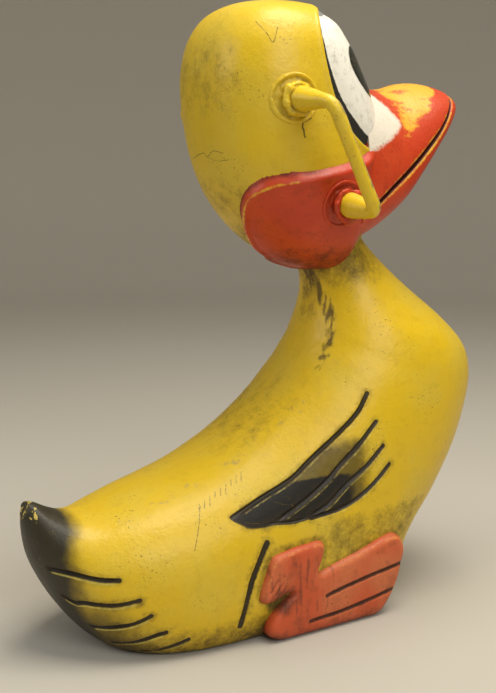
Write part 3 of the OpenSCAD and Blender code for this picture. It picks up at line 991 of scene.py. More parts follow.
    def seat_wear(self, points: Points) -> Values:
        """Where riders have rubbed the seat and its edges."""
        ridge = smooth_line(((69, -60, 324), (49, -67, 295), (19, -66, 266), (-34, -57, 233),
                             (-117, -53, 194), (-223, -51, 162)), 5)
        near, _ = nearest(points * (1.0, 0.0, 1.0) - np.abs(points) * (0.0, 1.0, 0.0), ridge, 40.0)
        return 0.42 * step_up(near, 34.0, 4.0)

    def cutter(self) -> bpy.types.Object:
        """A solid that cuts the floor's opening and the holes of the plate bolts."""
        deselect()
        bpy.ops.mesh.primitive_cube_add(size=1.0, location=(self.opening_x * MM, 0.0, 0.0))
        block = bpy.context.active_object
        block.scale = (self.opening[0] * MM, self.opening[1] * MM, 3.0 * self.floor_thickness * MM)
        parts = [block]
        for sx in (-0.5, 0.5):
            for sy in (-0.5, 0.5):
                bpy.ops.mesh.primitive_cylinder_add(
                    vertices=32, radius=self.bolt_hole / 2.0 * MM, depth=3.0 * self.floor_thickness * MM,
                    location=((self.opening_x + sx * self.bolt_span[0]) * MM, sy * self.bolt_span[1] * MM,
                              0.0))
                parts.append(bpy.context.active_object)
        pick(*parts)
        bpy.ops.object.join()
        bpy.ops.object.transform_apply(location=True, rotation=True, scale=True)
        return bpy.context.active_object

    def build(self, wardrobe: Wardrobe) -> list[bpy.types.Object]:
        """Models both shells.

        Args:
            wardrobe: The finishes.

        Returns:
            The right and the left shell.
        """
        skin = self.form.body("torso_skin", self.mesh_step, self.segments)
        refine(skin, self.groove_gap, 6.0, 3)
        refine(skin, lambda p: scuff_gap(p, self.scuffs()), 2.5, 2)
        self.carve(skin)
        hollow = Loft(self.stations, floor=self.floor_thickness, floor_blend=3.0).body(
            "torso_hollow", 12.0, 80, -self.wall, 2.0, 20.0)
        cutter = self.cutter()
        shells = [make_shell(skin, hollow, side, f"torso_{side.word}_casting", wardrobe.body,
                             wardrobe.cast) for side in Side]
        for shell in shells:
            modify(shell, "BOOLEAN", operation="DIFFERENCE", object=cutter, solver="MANIFOLD")
            shade(shell, 50.0)
        for spare in (skin, hollow, cutter):
            bpy.data.objects.remove(spare)
        return shells


def make_shell(skin: bpy.types.Object, hollow: bpy.types.Object, side: Side, name: str,
               paint: bpy.types.Material, cast: bpy.types.Material) -> bpy.types.Object:
    """Makes one half of a hollow casting, closed along the centre plane by its wall's rim.

    Args:
        skin: The whole outer skin.
        hollow: The whole inner form.
        side: The half to keep.
        name: The new piece's name.
        paint: The finish of the skin.
        cast: The finish of the inner wall and of the rim.

    Returns:
        The half shell.
    """
    outer = twin(skin, name)
    inner = twin(hollow, name + "_inner")
    inner.data.flip_normals()
    for piece in (outer, inner):
        cut_away(piece, Vector((0, 0, 0)), Vector((0, -side.value, 0)), False)
    outer.data.materials.clear()
    inner.data.materials.clear()
    outer.data.materials.append(paint)
    inner.data.materials.append(cast)
    pick(outer, inner)
    bpy.ops.object.join()
    mesh = outer.data
    uses = np.zeros(len(mesh.edges), int)
    edge_of = np.empty(len(mesh.loops), np.int32)
    mesh.loops.foreach_get("edge_index", edge_of)
    np.add.at(uses, edge_of, 1)
    bpy.context.tool_settings.mesh_select_mode = (False, True, False)
    mesh.polygons.foreach_set("select", np.zeros(len(mesh.polygons), bool))
    mesh.vertices.foreach_set("select", np.zeros(len(mesh.vertices), bool))
    mesh.edges.foreach_set("select", uses == 1)
    bpy.ops.object.mode_set(mode="EDIT")
    bpy.ops.mesh.bridge_edge_loops()
    outer.active_material_index = 1
    bpy.ops.object.material_slot_assign()
    bpy.ops.object.mode_set(mode="OBJECT")
    return outer


@dataclass(frozen=True)
class Head:
    """The two head shells with the eyes cast and painted on them."""

    wall: float = 6.0
    mesh_step: float = 2.7
    segments: int = 292
    stations: tuple = (
        (68, 443, 88, 443, 12, .50, 2.0, 2.0), (44, 447, 108, 445, 36, .50, 2.0, 2.0),
        (8, 460, 128, 456, 60, .50, 2.0, 2.0), (-22, 482, 142, 478, 78, .50, 2.1, 2.1),
        (-47, 510, 152, 506, 92, .50, 2.2, 2.2), (-65, 540, 158, 538, 101, .50, 2.3, 2.3),
        (-77, 574, 158, 574, 107, .50, 2.4, 2.3), (-84, 610, 154, 612, 109, .50, 2.5, 2.3),
        (-87, 645, 142, 647, 109, .50, 2.6, 2.3), (-86, 682, 124, 680, 107, .50, 2.6, 2.3),
        (-77, 718, 104, 714, 100, .50, 2.5, 2.3), (-58, 745, 86, 741, 83, .50, 2.4, 2.2),
        (-30, 759, 64, 757, 52, .50, 2.1, 2.1), (6, 762, 36, 762, 14, .50, 2.0, 2.0))
    # Turn from straight ahead in degrees and height of the eye's rim, from its top down the outside
    eye_rim: tuple = ((70, 757), (93, 746), (98.5, 726), (98.4, 705), (97, 686), (94.3, 665), (91.6, 650),
                      (88.4, 637), (83, 620), (73, 601), (60, 588), (47, 592), (32, 600), (14, 606),
                      (1.5, 610), (1.5, 640), (1.5, 690), (14, 722), (38, 748))
    eye_axis_x: float = 38.0
    eye_radius: float = 106.0
    pupil_centre: tuple[float, float] = (79.5, 679.0)
    pupil_half: tuple[float, float] = (18.0, 30.0)
    # Cracks at the back and high on the right side, and chips below the upper boss
    scuffs: tuple = (
        (0.4, ((-71, 34, 576), (-76, 1, 583), (-74, -6, 578), (-75, -21, 585), (-71, -38, 583))),
        (0.3, ((-74, -6, 578), (-70, -26, 574), (-66, -44, 576))),
        (0.45, ((-48, -69, 728), (-42, -86, 711), (-38, -90, 705), (-31, -87, 722))),
        (1.2, ((-16, -102, 621), (-8, -104, 618), (2, -106, 622))),
        (1.0, ((-8, -104, 618), (-7, -104, 611), (-4, -104, 600))))
    gap_wide: tuple = ((588, 8.0), (601, 14.0), (620, 15.0), (650, 10.0), (686, 6.5), (726, 4.5), (740, 3.0),
                       (750, 1.2))

    @property
    def form(self) -> Loft:
        """The outer form."""
        return Loft(self.stations)

    def face_plane(self, points: Points) -> Points:
        """Unrolls points about the eye axis: millimetres round from straight ahead, and height."""
        turn = np.arctan2(np.abs(points[:, 1]), points[:, 0] - self.eye_axis_x)
        return np.stack([turn * self.eye_radius, points[:, 2]], 1)

    def rim_line(self) -> Points:
        """The eye's rim in the unrolled plane."""
        rim = [(math.radians(turn) * self.eye_radius, z) for turn, z in self.eye_rim]
        return smooth_line(rim, 6, closed=True)

    def eye_depth(self, points: Points) -> Values:
        """How far inside the eye's rim each point is."""
        return depth_inside(self.face_plane(points), self.rim_line())

    def pupil_depth(self, points: Points) -> Values:
        """How far inside the pupil's edge each point is, roughly."""
        flat = np.stack([np.abs(points[:, 1]), points[:, 2]], 1) - self.pupil_centre
        half = np.array(self.pupil_half)
        depth = (1.0 - np.linalg.norm(flat / half, axis=1)) * half.min()
        return np.where(points[:, 0] > self.eye_axis_x, depth, -99.0)

    def carve(self, piece: bpy.types.Object) -> None:
        """Sinks the eyes a little behind the head's skin and stores where its paints lie."""
        points = points_of(piece)
        normals = normals_of(piece)
        inside = self.eye_depth(points)
        sink = 4.2 * step_up(inside, -0.6, 2.4) - 2.8 * step_up(inside, 4.0, 26.0)
        lip = 0.7 * bump_at(inside, -3.5, 4.0)
        pupil = self.pupil_depth(points)
        rise = 0.8 * step_up(pupil, -1.0, 2.0)
        seam = 0.22 * bump_at(points[:, 1], 0.0, 2.2)
        mark(piece, "eye", 0.5 + inside / 24.0)
        heights, widths = np.array(self.gap_wide).T
        wide = np.interp(points[:, 2], heights, widths)
        mark(piece, "crevice", np.where(inside > -3.0, 0.5 + (0.5 * wide - np.abs(inside - 0.5 * wide))
                                        / 12.0, 0.0))
        mark(piece, "pupil", np.where(inside > 2.0, 0.5 + pupil / 20.0, 0.0))
        mark(piece, "streak", np.where(inside > 4.0, 0.45, 0.0))
        mark(piece, "scuff", 0.8 - scuff_gap(points, self.scuffs) / 5.0)
        self.soil_and_shade(piece, points)
        move_points(piece, points + normals * (lip + rise - sink - seam)[:, None])

    def soil_and_shade(self, piece: bpy.types.Object, points: Points) -> None:
        """Stores where painted shade, a darker smudge and worn paint lie on the head."""
        x, _, z = points.T
        # Painted shade under the head and on its lower back, and a mottled darker smudge high at the back
        below = 0.5 * step_up(z, 520.0, 470.0)
        smudge = 0.32 * step_up(x, -62.0, -80.0) * bump_at(z, 668.0, 80.0)
        rear = 0.4 * step_up(x, -10.0, -66.0) * step_up(z, 590.0, 515.0)
        mark(piece, "grime_and_shade", np.maximum.reduce([below, smudge, rear]))
        mark(piece, "wear_and_highlight", 0.3 * step_up(z, 735.0, 762.0))

    def build(self, wardrobe: Wardrobe) -> list[bpy.types.Object]:
        """Models both shells.

        Args:
            wardrobe: The finishes.

        Returns:
            The right and the left shell.
        """
        skin = self.form.body("head_skin", self.mesh_step, self.segments)
        refine(skin, lambda p: np.abs(self.eye_depth(p) - 2.0), 7.0, 2)
        refine(skin, lambda p: np.abs(self.pupil_depth(p)), 3.0, 1)
        refine(skin, lambda p: scuff_gap(p, self.scuffs), 3.0, 2)
        self.carve(skin)
        hollow = self.form.body("head_hollow", 12.0, 72, -self.wall, 3.0, 12.0)
        shells = [make_shell(skin, hollow, side, f"head_{side.word}_casting", wardrobe.head,
                             wardrobe.cast) for side in Side]
        for shell in shells:
            shade(shell, 60.0)
        for spare in (skin, hollow):
            bpy.data.objects.remove(spare)
        return shells


@dataclass(frozen=True)
class Cheeks:
    """The raised pads that lie on the head behind the bill."""

    head: Head
    proud: float = 8.0
    slope: float = 11.0
    # The left pad ends this far past a slanting plane through the head, so that the back stays bare
    left_end: float = 29.0
    left_end_slant: tuple[float, float] = (0.57, 0.82)
    left_corner: float = 36.0
    # The head's middle line leans: its x at this height, and how far it moves back per millimetre up
    middle_x: float = 68.0
    middle_height: float = 460.0
    middle_lean: float = 0.28
    # The pad's painted edge on the right side, from the bill round to the centre plane
    edge: tuple = ((150, -70, 606), (128, -86, 602), (104, -97, 594), (74, -103, 578), (24, -106, 566),
                   (-22, -90, 560), (-42, -72, 553), (-52, -50, 539), (-47, -32, 520), (-32, -14, 495),
                   (-12, -2, 475), (2, -1, 462))

    def inside(self, points: Points) -> Values:
        """How far inside the pad's edge each point is."""
        edge = smooth_line(self.edge, 6)
        axis = self.head.eye_axis_x
        turn = np.degrees(np.arctan2(-edge[:, 1], edge[:, 0] - axis))
        outline = np.stack([turn, edge[:, 2]], 1)
        outline = np.vstack([[(0.0, 590.0)], outline, [(181.0, 400.0), (-2.0, 400.0), (-2.0, 590.0)]])
        own_turn = np.degrees(np.arctan2(-points[:, 1], points[:, 0] - axis))
        flat = np.stack([own_turn, points[:, 2]], 1)
        gap, _ = nearest(points, edge, 60.0)
        gap = np.minimum(gap, 60.0)
        return np.where(depth_inside(flat, outline) > 0.0, gap, -gap)

    def kept(self, points: Points, side: Side) -> Values:
        """How far inside one pad's edge each point is, for a pad laid on the right side.

        Args:
            points: The pad's vertices.
            side: The pad's side. The left pad ends further from the back of the head.

        Returns:
            The distances, positive inside.
        """
        inside = self.inside(points)
        if side is Side.RIGHT:
            return inside
        middle = self.middle_x - self.middle_lean * (points[:, 2] - self.middle_height)
        ahead, across = self.left_end_slant
        past = ahead * (points[:, 0] - middle) - across * points[:, 1] - self.left_end
        corner = self.left_corner
        return corner - np.hypot(np.maximum(corner - inside, 0.0), np.maximum(corner - past, 0.0))

    def pad(self, side: Side, wardrobe: Wardrobe) -> bpy.types.Object:
        """Models one pad on the head's own form.

        Args:
            side: The pad's side.
            wardrobe: The finishes.

        Returns:
            The pad.
        """
        pad = self.head.form.body(f"cheek_{side.word}_pad", 2.0, 380, 0.0, 0.0, 7.0)
        points = points_of(pad)
        inside = np.minimum(self.kept(points, side), 1.0 - points[:, 1])
        select_faces(pad, face_values(pad, inside) < -5.0)
        bpy.ops.mesh.delete(type="FACE")
        bpy.ops.object.mode_set(mode="OBJECT")
        points = points_of(pad)
        normals = normals_of(pad)
        alone = 6.0 * step_up(points[:, 0], 30.0, 0.0) if side is Side.RIGHT else 0.0
        inside = np.minimum(self.kept(points, side), 9.0 - points[:, 1] * 1.6 - alone)
        front = step_up(points[:, 0], 118.0, 84.0)
        rise = -2.5 + (self.proud + 2.5) * step_up(inside, -1.5, self.slope) * (0.1 + 0.9 * front)
        rise += 1.3 * bump_at(inside, self.slope + 1.5, 7.0) * front
        rim = bump_at(inside, self.slope, 5.0) * step_up(points[:, 0], 20.0, -20.0)
        mark(pad, "wear_and_highlight", 0.66 * rim)
        # Painted shade low on the pad under the head, on its rear slope and along its edge
        low = 0.5 * step_up(points[:, 2], 490.0, 455.0)
        slope = 0.58 * step_up(inside, 9.0, 3.0) * step_up(points[:, 0], 50.0, 0.0)
        mark(pad, "grime_and_shade", np.maximum.reduce([low, slope, 0.52 * step_up(inside, 5.0, -1.0)]))
        move_points(pad, points + normals * rise[:, None])
        modify(pad, "SOLIDIFY", thickness=0.004, offset=-1.0)
        pad.data.materials.clear()
        pad.data.materials.append(wardrobe.bill)
        shade(pad, 60.0)
        if side is Side.LEFT:
            flip_side(pad)
        return pad

    def build(self, wardrobe: Wardrobe) -> list[bpy.types.Object]:
        """Models both pads."""
        return [self.pad(side, wardrobe) for side in Side]


@dataclass(frozen=True)
class Bill:
    """The upper and the lower bill, which part at the mouth line."""

    # The mouth line seen from the side: x and z from the cheek to the tip
    mouth: tuple = ((60, 486), (111, 520), (140, 541), (179, 567), (205, 586), (236, 612), (258, 636),
                    (280, 664), (300, 694))
    mouth_slope: float = 0.77
    # How far the mouth line rises from level, in degrees
    mouth_turn: float = 40.0
    gap: float = 4.4
    lip_round: float = 3.5
    # Where the white of the eye runs out onto the bill, seen from the side
    white: tuple = ((80, 570), (94, 582), (118, 590), (144, 602), (166, 617), (160, 630), (146, 648),
                    (134, 662), (112, 690), (80, 690))
    stations: tuple = (
        (98, 672, 90, 460, 103, .62, 2.5, 2.4), (146, 664, 128, 476, 97, .66, 2.1, 2.4),
        (182, 664, 168, 505, 90, .72, 1.8, 2.4), (212, 671, 202, 540, 81, .74, 1.8, 2.4),
        (240, 673, 230, 571, 73, .72, 1.9, 2.4), (265, 669, 256, 600, 63, .68, 2.0, 2.4),
        (284, 662, 276, 622, 49, .60, 2.0, 2.2), (296, 652, 290, 637, 27, .50, 2.0, 2.0),
        (299, 647, 296, 643, 9, .50, 2.0, 2.0))

    def mouth_height(self, points: Points) -> Values:
        """The mouth line's height below or above each point."""
        line = smooth_line(self.mouth, 8)
        return np.interp(points[:, 0], line[:, 0], line[:, 1])

    def above(self, points: Points) -> Values:
        """How far each point is above the mouth surface."""
        return (points[:, 2] - self.mouth_height(points)) * self.mouth_slope

    def half(self, name: str, up: bool, wardrobe: Wardrobe) -> bpy.types.Object:
        """Models the upper or the lower bill.

        Args:
            name: The piece's name.
            up: Whether it is the upper bill.
            wardrobe: The finishes.

        Returns:
            The piece.
        """
        piece = Loft(self.stations).body(name, 2.4, 264)
        sign = 1.0 if up else -1.0
        refine(piece, lambda p: np.abs(self.above(p)), 6.0, 1)
        points = points_of(piece)
        points[:, 2] -= self.mouth_height(points)
        move_points(piece, points)
        level = 0.5 * self.gap * sign / self.mouth_slope
        cut_away(piece, Vector((0.0, 0.0, level)), Vector((0.0, 0.0, -sign)), True)
        modify(piece, "TRIANGULATE", min_vertices=5)
        points = points_of(piece)
        points[:, 2] += self.mouth_height(points)
        move_points(piece, points)
        turn = math.radians(self.mouth_turn)
        normal = (-math.sin(turn), 0.0, math.cos(turn))
        points = points_of(piece)
        outward = normals_of(piece)
        outward -= np.outer(outward @ np.array(normal), np.array(normal))
        outward /= np.maximum(np.linalg.norm(outward, axis=1), 1e-6)[:, None]
        over = np.clip(sign * self.above(points) - 0.5 * self.gap, 0.0, self.lip_round)
        turned = self.lip_round - np.sqrt(self.lip_round ** 2 - (self.lip_round - over) ** 2)
        inset = turned + (0.0 if up else 1.5)
        moved = points - outward * inset[:, None]
        height = sign * self.above(points)
        worn = (0.55 if up else 0.68) * bump_at(height, 4.5, 5.0)
        flat = np.stack([points[:, 0], points[:, 2]], 1)
        white = np.zeros(len(points))
        if up:
            crown = step_up(height, 12.0, 38.0) * step_up(points[:, 0], 146.0, 182.0)
            crown *= 1.0 - 0.4 * step_up(points[:, 0], 276.0, 296.0)
            streaks = 0.78 + 0.3 * lumps(points * (0.2, 1.0, 1.0), 8.0, 6.3)
            worn = np.maximum(worn, crown * streaks)
            white = 0.5 + depth_inside(flat, smooth_line(self.white, 6, True)) / 30.0
            white *= step_up(np.abs(points[:, 1]), 12.0, 22.0)
        mark(piece, "eye", white)
        mark(piece, "wear_and_highlight", worn)
        # Painted shade along the edges of the mouth gap
        mark(piece, "grime_and_shade", step_up(height, 4.2, 2.2))
        move_points(piece, moved)
        piece.data.materials.clear()
        piece.data.materials.append(wardrobe.bill)
        shade(piece, 60.0)
        return piece

    def build(self, wardrobe: Wardrobe) -> list[bpy.types.Object]:
        """Models both halves of the bill."""
        return [self.half("upper_bill_casting", True, wardrobe),
                self.half("lower_bill_casting", False, wardrobe)]


@dataclass(frozen=True)
class Feet:
    """The leg and webbed foot castings."""

    root: float = 86.0
    face: float = 134.0
    edge: float = 9.0
    voxel: float = 1.7
    outline: tuple = (
        (-65, 96), (-60, 108), (-28, 114), (10, 117), (17, 111), (14, 96), (5, 74), (14, 76), (34, 82),
        (72, 91), (106, 101), (126, 104), (135, 99), (143, 82), (137, 61), (131, 39), (119, 18),
        (107, 4), (96, 0), (-50, 0), (-62, 5), (-67, 15), (-63, 28), (-52, 42), (-27, 60), (-44, 56),
        (-64, 50), (-78, 52), (-76, 64))
    toes: tuple[Groove, ...] = (
        Groove(((134, -134, 64), (91, -134, 59), (48, -134, 52), (15, -134, 46)), 7.0, 3.6),
        Groove(((120, -134, 32), (66, -134, 24), (32, -134, 20), (-9, -134, 18)), 7.0, 3.6))
    ridges: tuple = ((-62, 74), (-56, 69), (-50, 64), (-45, 60))

    def build(self, wardrobe: Wardrobe) -> list[bpy.types.Object]:
        """Models the right foot, and copies it to the left.

        Args:
            wardrobe: The finishes.

        Returns:
            The right and the left foot.
        """
        edge_line = self.dense_outline()
        deselect()
        bpy.ops.mesh.primitive_circle_add(vertices=len(edge_line), radius=1.0, fill_type="NGON")
        foot = bpy.context.active_object
        foot.name = foot.data.name = "foot_right_casting"
        move_points(foot, np.stack([edge_line[:, 0], np.full(len(edge_line), -self.root),
                                    edge_line[:, 1]], 1))
        bpy.ops.object.mode_set(mode="EDIT")
        bpy.ops.mesh.select_all(action="SELECT")
        bpy.ops.mesh.extrude_region_move(
            TRANSFORM_OT_translate={"value": (0.0, (self.root - self.face) * MM, 0.0)})
        bpy.ops.mesh.select_all(action="SELECT")
        bpy.ops.mesh.normals_make_consistent(inside=False)
        bpy.ops.object.mode_set(mode="OBJECT")
        modify(foot, "REMESH", mode="VOXEL", voxel_size=self.voxel * MM)
        self.carve(foot)
        foot.data.materials.clear()
        foot.data.materials.append(wardrobe.foot)
        shade(foot, 60.0)
        return [foot, mirrored(foot, "foot_left_casting")]

    def dense_outline(self) -> Points:
        """The outline with its corners a little rounded, in even short steps."""
        ring = np.vstack([self.outline, self.outline[:1]]).astype(float)
        run = np.concatenate([[0.0], np.cumsum(np.linalg.norm(np.diff(ring, axis=0), axis=1))])
        even = np.arange(0.0, run[-1], 3.0)
        line = np.stack([np.interp(even, run, ring[:, i]) for i in range(2)], axis=1)
        for _ in range(6):
            line = 0.5 * line + 0.25 * (np.roll(line, 1, axis=0) + np.roll(line, -1, axis=0))
        return line

    def carve(self, foot: bpy.types.Object) -> None:
        """Rounds the face's edge, cuts the toe lines and stores where stains, painted shade, worn paint and
        a painted highlight lie.
        """
        points = points_of(foot)
        flat = np.stack([points[:, 0], points[:, 2]], 1)
        inside = depth_inside(flat, self.dense_outline())
        out = -points[:, 1]
        drop = self.edge * (1.0 - np.sqrt(np.clip(1.0 - (1.0 - np.clip(inside / self.edge, 0, 1)) ** 2,
                                                  0.0, 1.0)))
        share = step_up(out, self.face - 22.0, self.face - 1.0)
        crown = 2.0 * step_up(inside, 0.0, 30.0) - 2.0
        normals = normals_of(foot)
        depth = np.zeros(len(points))
        gap = np.full(len(points), 999.0)
        for groove in self.toes:
            deep, far, _ = groove.cut(points, Side.RIGHT)
            depth = np.maximum(depth, deep)
            gap = np.minimum(gap, far)
        hatch = np.zeros(len(points))
        for x, z in self.ridges:
            near, _ = nearest(flat, np.array([(x - 4.0, z - 8.0), (x + 6.0, z + 6.0)]), 12.0)
            hatch = np.maximum(hatch, bump_at(near, 0.0, 2.6) * share)
        moved = points.copy()
        moved[:, 1] += share * (drop - crown)
        moved -= normals * (depth + 1.4 * hatch)[:, None]
        x, _, z = points.T
        # Painted shade in the heel notch, by the toe grooves and on the sides towards the body, and painted
        # shade with dirt near the floor
        heel = np.hypot(x + 45.0, z - 50.0)
        soil_and_shade = np.maximum.reduce([0.62 * step_up(heel, 30.0, 8.0), 0.5 * step_up(z, 24.0, 2.0),
                                  0.62 * step_up(gap, 5.0, 1.0), 0.6 * step_up(out, 126.0, 118.0)])
        mark(foot, "grime_and_shade", soil_and_shade)
        # Dark toe grooves and hatch lines: painted shade
        mark(foot, "groove", np.maximum(1.0 - gap / 12.0, 0.9 * hatch))
        runs = lumps(points * (1.0, 1.0, 0.12), 5.0, 4.4)
        mark(foot, "runs", (0.5 + 0.4 * runs) * step_up(z, 16.0, 34.0) * step_up(z, 118.0, 96.0)
             * step_up(x, 60.0, 20.0))
        # A painted highlight with worn paint along the top of the face's rounded edge
        mark(foot, "wear_and_highlight", 0.6 * bump_at(inside, 4.0, 6.0) * share * step_up(z, 50.0, 84.0))
        move_points(foot, moved)


@dataclass(frozen=True)
class Handles:
    """The welded grab handles with their boss pads and weld beads."""

    head: Head
    boss_upper: tuple = (-18.0, 104.0, 644.0)
    elbow_upper: tuple = (-12.0, 170.0, 638.0)
    boss_lower: tuple = (53.0, 112.0, 522.0)
    elbow_lower: tuple = (51.0, 170.0, 515.0)
    rod: float = 16.0
    root: float = 30.0
    bend: float = 15.0
    boss_radius: float = 29.0
    boss_face: float = 4.0
    boss_sink: float = 10.0
    bead: float = 10.0
    heavy_side: float = 2.2

    def right(self, place: tuple) -> Points:
        """A place given for the left side, on the right side."""
        return np.array((place[0], -place[1], place[2]))

    def bar_line(self) -> tuple[Points, Values]:
        """The bar's centre line and its radius along it."""
        upper, top = self.right(self.boss_upper), self.right(self.elbow_upper)
        low, lower = self.right(self.elbow_lower), self.right(self.boss_lower)
        pieces = []
        for before, corner, after in ((upper, top, low), (top, low, lower)):
            to_before = (before - corner) / np.linalg.norm(before - corner)
            to_after = (after - corner) / np.linalg.norm(after - corner)
            t = np.linspace(0.0, 1.0, 15)[:, None]
            a, b = corner + to_before * self.bend, corner + to_after * self.bend
            pieces.append((1 - t) ** 2 * a + 2 * t * (1 - t) * corner + t ** 2 * b)
        rough = np.vstack([upper[None], pieces[0], pieces[1], lower[None]])
        run = np.concatenate([[0.0], np.cumsum(np.linalg.norm(np.diff(rough, axis=0), axis=1))])
        even = np.arange(0.0, run[-1], 1.6)
        line = np.stack([np.interp(even, run, rough[:, i]) for i in range(3)], 1)
        from_root = np.minimum(even, run[-1] - even)
        reach = np.linalg.norm(top - upper)
        near_boss = step_up(from_root, 0.92 * reach, 0.1 * reach)
        radius = self.rod / 2.0 + (self.root - self.rod) / 2.0 * near_boss
        return line, radius

    def bar(self, wardrobe: Wardrobe) -> bpy.types.Object:
        """Models the right handle's bar."""
        line, radius = self.bar_line()
        ahead = np.gradient(line, axis=0)
        ahead /= np.linalg.norm(ahead, axis=1)[:, None]
        across = np.cross(ahead[0], (0.0, 0.0, 1.0))
        turns = np.linspace(0.0, 2.0 * math.pi, 48, endpoint=False)
        rings = np.empty((len(line), 48, 3))
        for i, way in enumerate(ahead):
            across = across - way * (across @ way)
            across /= np.linalg.norm(across)
            other = np.cross(way, across)
            rings[i] = line[i] + radius[i] * (np.outer(np.cos(turns), across)
                                              + np.outer(np.sin(turns), other))
        bar = wrap("handle_right_bar", rings, line[0], line[-1])
        points = points_of(bar)
        normals = normals_of(bar)
        hammered = 0.35 * lumps(points, 11.0, 3.7) + 0.25 * lumps(points, 28.0, 5.1)
        move_points(bar, points + normals * hammered[:, None])
        front = step_up(points[:, 0] + 0.5 * points[:, 2] - 0.5 * 576 - 20, -4.0, 9.0)
        grip = step_up(-points[:, 1], 158.0, 168.0)
        mark(bar, "wear_and_highlight", 0.34 + 0.38 * front * grip)
        mark(bar, "grime_and_shade", 0.5 * step_up(-points[:, 1], 128.0, 112.0))
        bar.data.materials.clear()
        bar.data.materials.append(wardrobe.handle)
        shade(bar, 60.0)
        return bar

    def frame_at(self, boss: tuple, elbow: tuple) -> tuple[Points, Points, Points, Points]:
        """The boss's centre and the directions out of it and across it."""
        centre = self.right(boss)
        out = self.right(elbow) - centre
        out /= np.linalg.norm(out)
        side = np.cross(out, (0.0, 0.0, 1.0))
        side /= np.linalg.norm(side)
        return centre, out, side, np.cross(out, side)

    def boss(self, name: str, boss: tuple, lift: float,
             material: bpy.types.Material) -> bpy.types.Object:
        """Models a boss pad: a round disc with a thin lumpy rim, which follows the head's skin.

        Args:
            name: The piece's name.
            boss: The pad's centre on the left side.
            lift: How far it stands off the head's skin.
            material: Its finish.

        Returns:
            The piece.
        """
        centre = self.right(boss)
        r, base = self.boss_radius, -self.boss_sink
        profile = smooth_line(((r * 0.5, base), (r - 0.6, base), (r, base + 0.8), (r, 0.4),
                               (r - 0.6, 1.9), (r - 2.0, 2.6), (r - 3.6, 2.0), (r - 5.0, 0.7),
                               (r - 8.0, 0.3), (r - 13.0, 1.6), (4.0, 2.6)), 5)
        turns = np.linspace(0.0, 2.0 * math.pi, 120, endpoint=False)
        x = centre[0] + np.outer(profile[:, 0], np.cos(turns))
        z = centre[2] + np.outer(profile[:, 0], np.sin(turns))
        rings = np.stack([x, self.skin_y(centre, x, z) - lift - profile[:, 1:], z], axis=2)
        poles = [np.array((centre[0], self.skin_y(centre, *centre[[0, 2]]) - lift - h, centre[2]))
                 for h in (base, 2.6)]
        piece = wrap(name, rings, poles[0], poles[1])
        points = points_of(piece)
        radial = np.hypot(points[:, 0] - centre[0], points[:, 2] - centre[2])
        rough = 0.9 * lumps(points, 7.0, 1.9) + 0.4 * lumps(points, 3.5, 8.2)
        points[:, 1] += rough * step_up(radial, 29.2, 27.0)
        move_points(piece, points)
        mark(piece, "wear_and_highlight", 0.4 * bump_at(radial, 27.0, 3.0))
        mark(piece, "grime_and_shade", 0.42 * bump_at(radial, 22.5, 4.5))
        piece.data.materials.clear()
        piece.data.materials.append(material)
        shade(piece, 60.0)
        return piece

    def skin_y(self, centre: Points, x: Values, z: Values) -> Values:
        """The right side's y of the head's skin near a boss, from a fitted quadratic."""
        rings = self.head.form.rings(self.head.form.spaced(6.0), 160)[:, 3:78].reshape(-1, 3)
        near = rings[np.hypot(rings[:, 0] - centre[0], rings[:, 2] - centre[2]) < 36.0]

        def terms(dx: Values, dz: Values) -> Points:
            """The quadratic's terms."""
            return np.stack([np.ones_like(dx), dx, dz, dx * dx, dx * dz, dz * dz], axis=-1)

        fit = np.linalg.lstsq(terms(near[:, 0] - centre[0], near[:, 2] - centre[2]), near[:, 1], None)[0]
        return terms(np.asarray(x - centre[0]), np.asarray(z - centre[2])) @ fit

    def weld(self, name: str, boss: tuple, elbow: tuple, seed: float,
             material: bpy.types.Material) -> bpy.types.Object:
        """Models a hand-laid weld bead: a ring of uneven overlapping blobs round the stub.

        Args:
            name: The piece's name.
            boss: The boss pad's centre on the left side.
            elbow: The elbow that it faces, on the left side.
            seed: Makes each bead's blobs its own.
            material: Its finish.

        Returns:
            The piece.
        """
        centre, out, side, up = self.frame_at(boss, elbow)
        deselect()
        bpy.ops.mesh.primitive_torus_add(major_segments=144, minor_segments=36,
                                         major_radius=(self.root / 2 + 1.0) * MM,
                                         minor_radius=self.bead / 2 * MM)
        piece = bpy.context.active_object
        piece.name = piece.data.name = name
        flat = points_of(piece)
        normals = normals_of(piece)
        turn = np.arctan2(flat[:, 1], flat[:, 0])
        blobs = 1.0 * np.abs(np.sin(turn * 3.5 + seed)) + 4.0 * lumps(flat, 13.0, seed)
        blobs += 1.0 * lumps(flat, 5.0, seed + 3.0) + 1.2 * np.cos(turn - self.heavy_side)
        flat = flat + normals * (blobs - 0.9)[:, None]
        move_points(piece, centre + self.boss_face * out + flat[:, :1] * side + flat[:, 1:2] * up
                    + flat[:, 2:3] * out)
        face_outwards(piece)
        mark(piece, "grime_and_shade", 0.5 * step_up(flat[:, 2], 1.0, -3.0) + 0.1)
        mark(piece, "wear_and_highlight", 0.42 * step_up(flat[:, 2], 2.0, 5.0))
        piece.data.materials.clear()
        piece.data.materials.append(material)
        shade(piece, 70.0)
        return piece

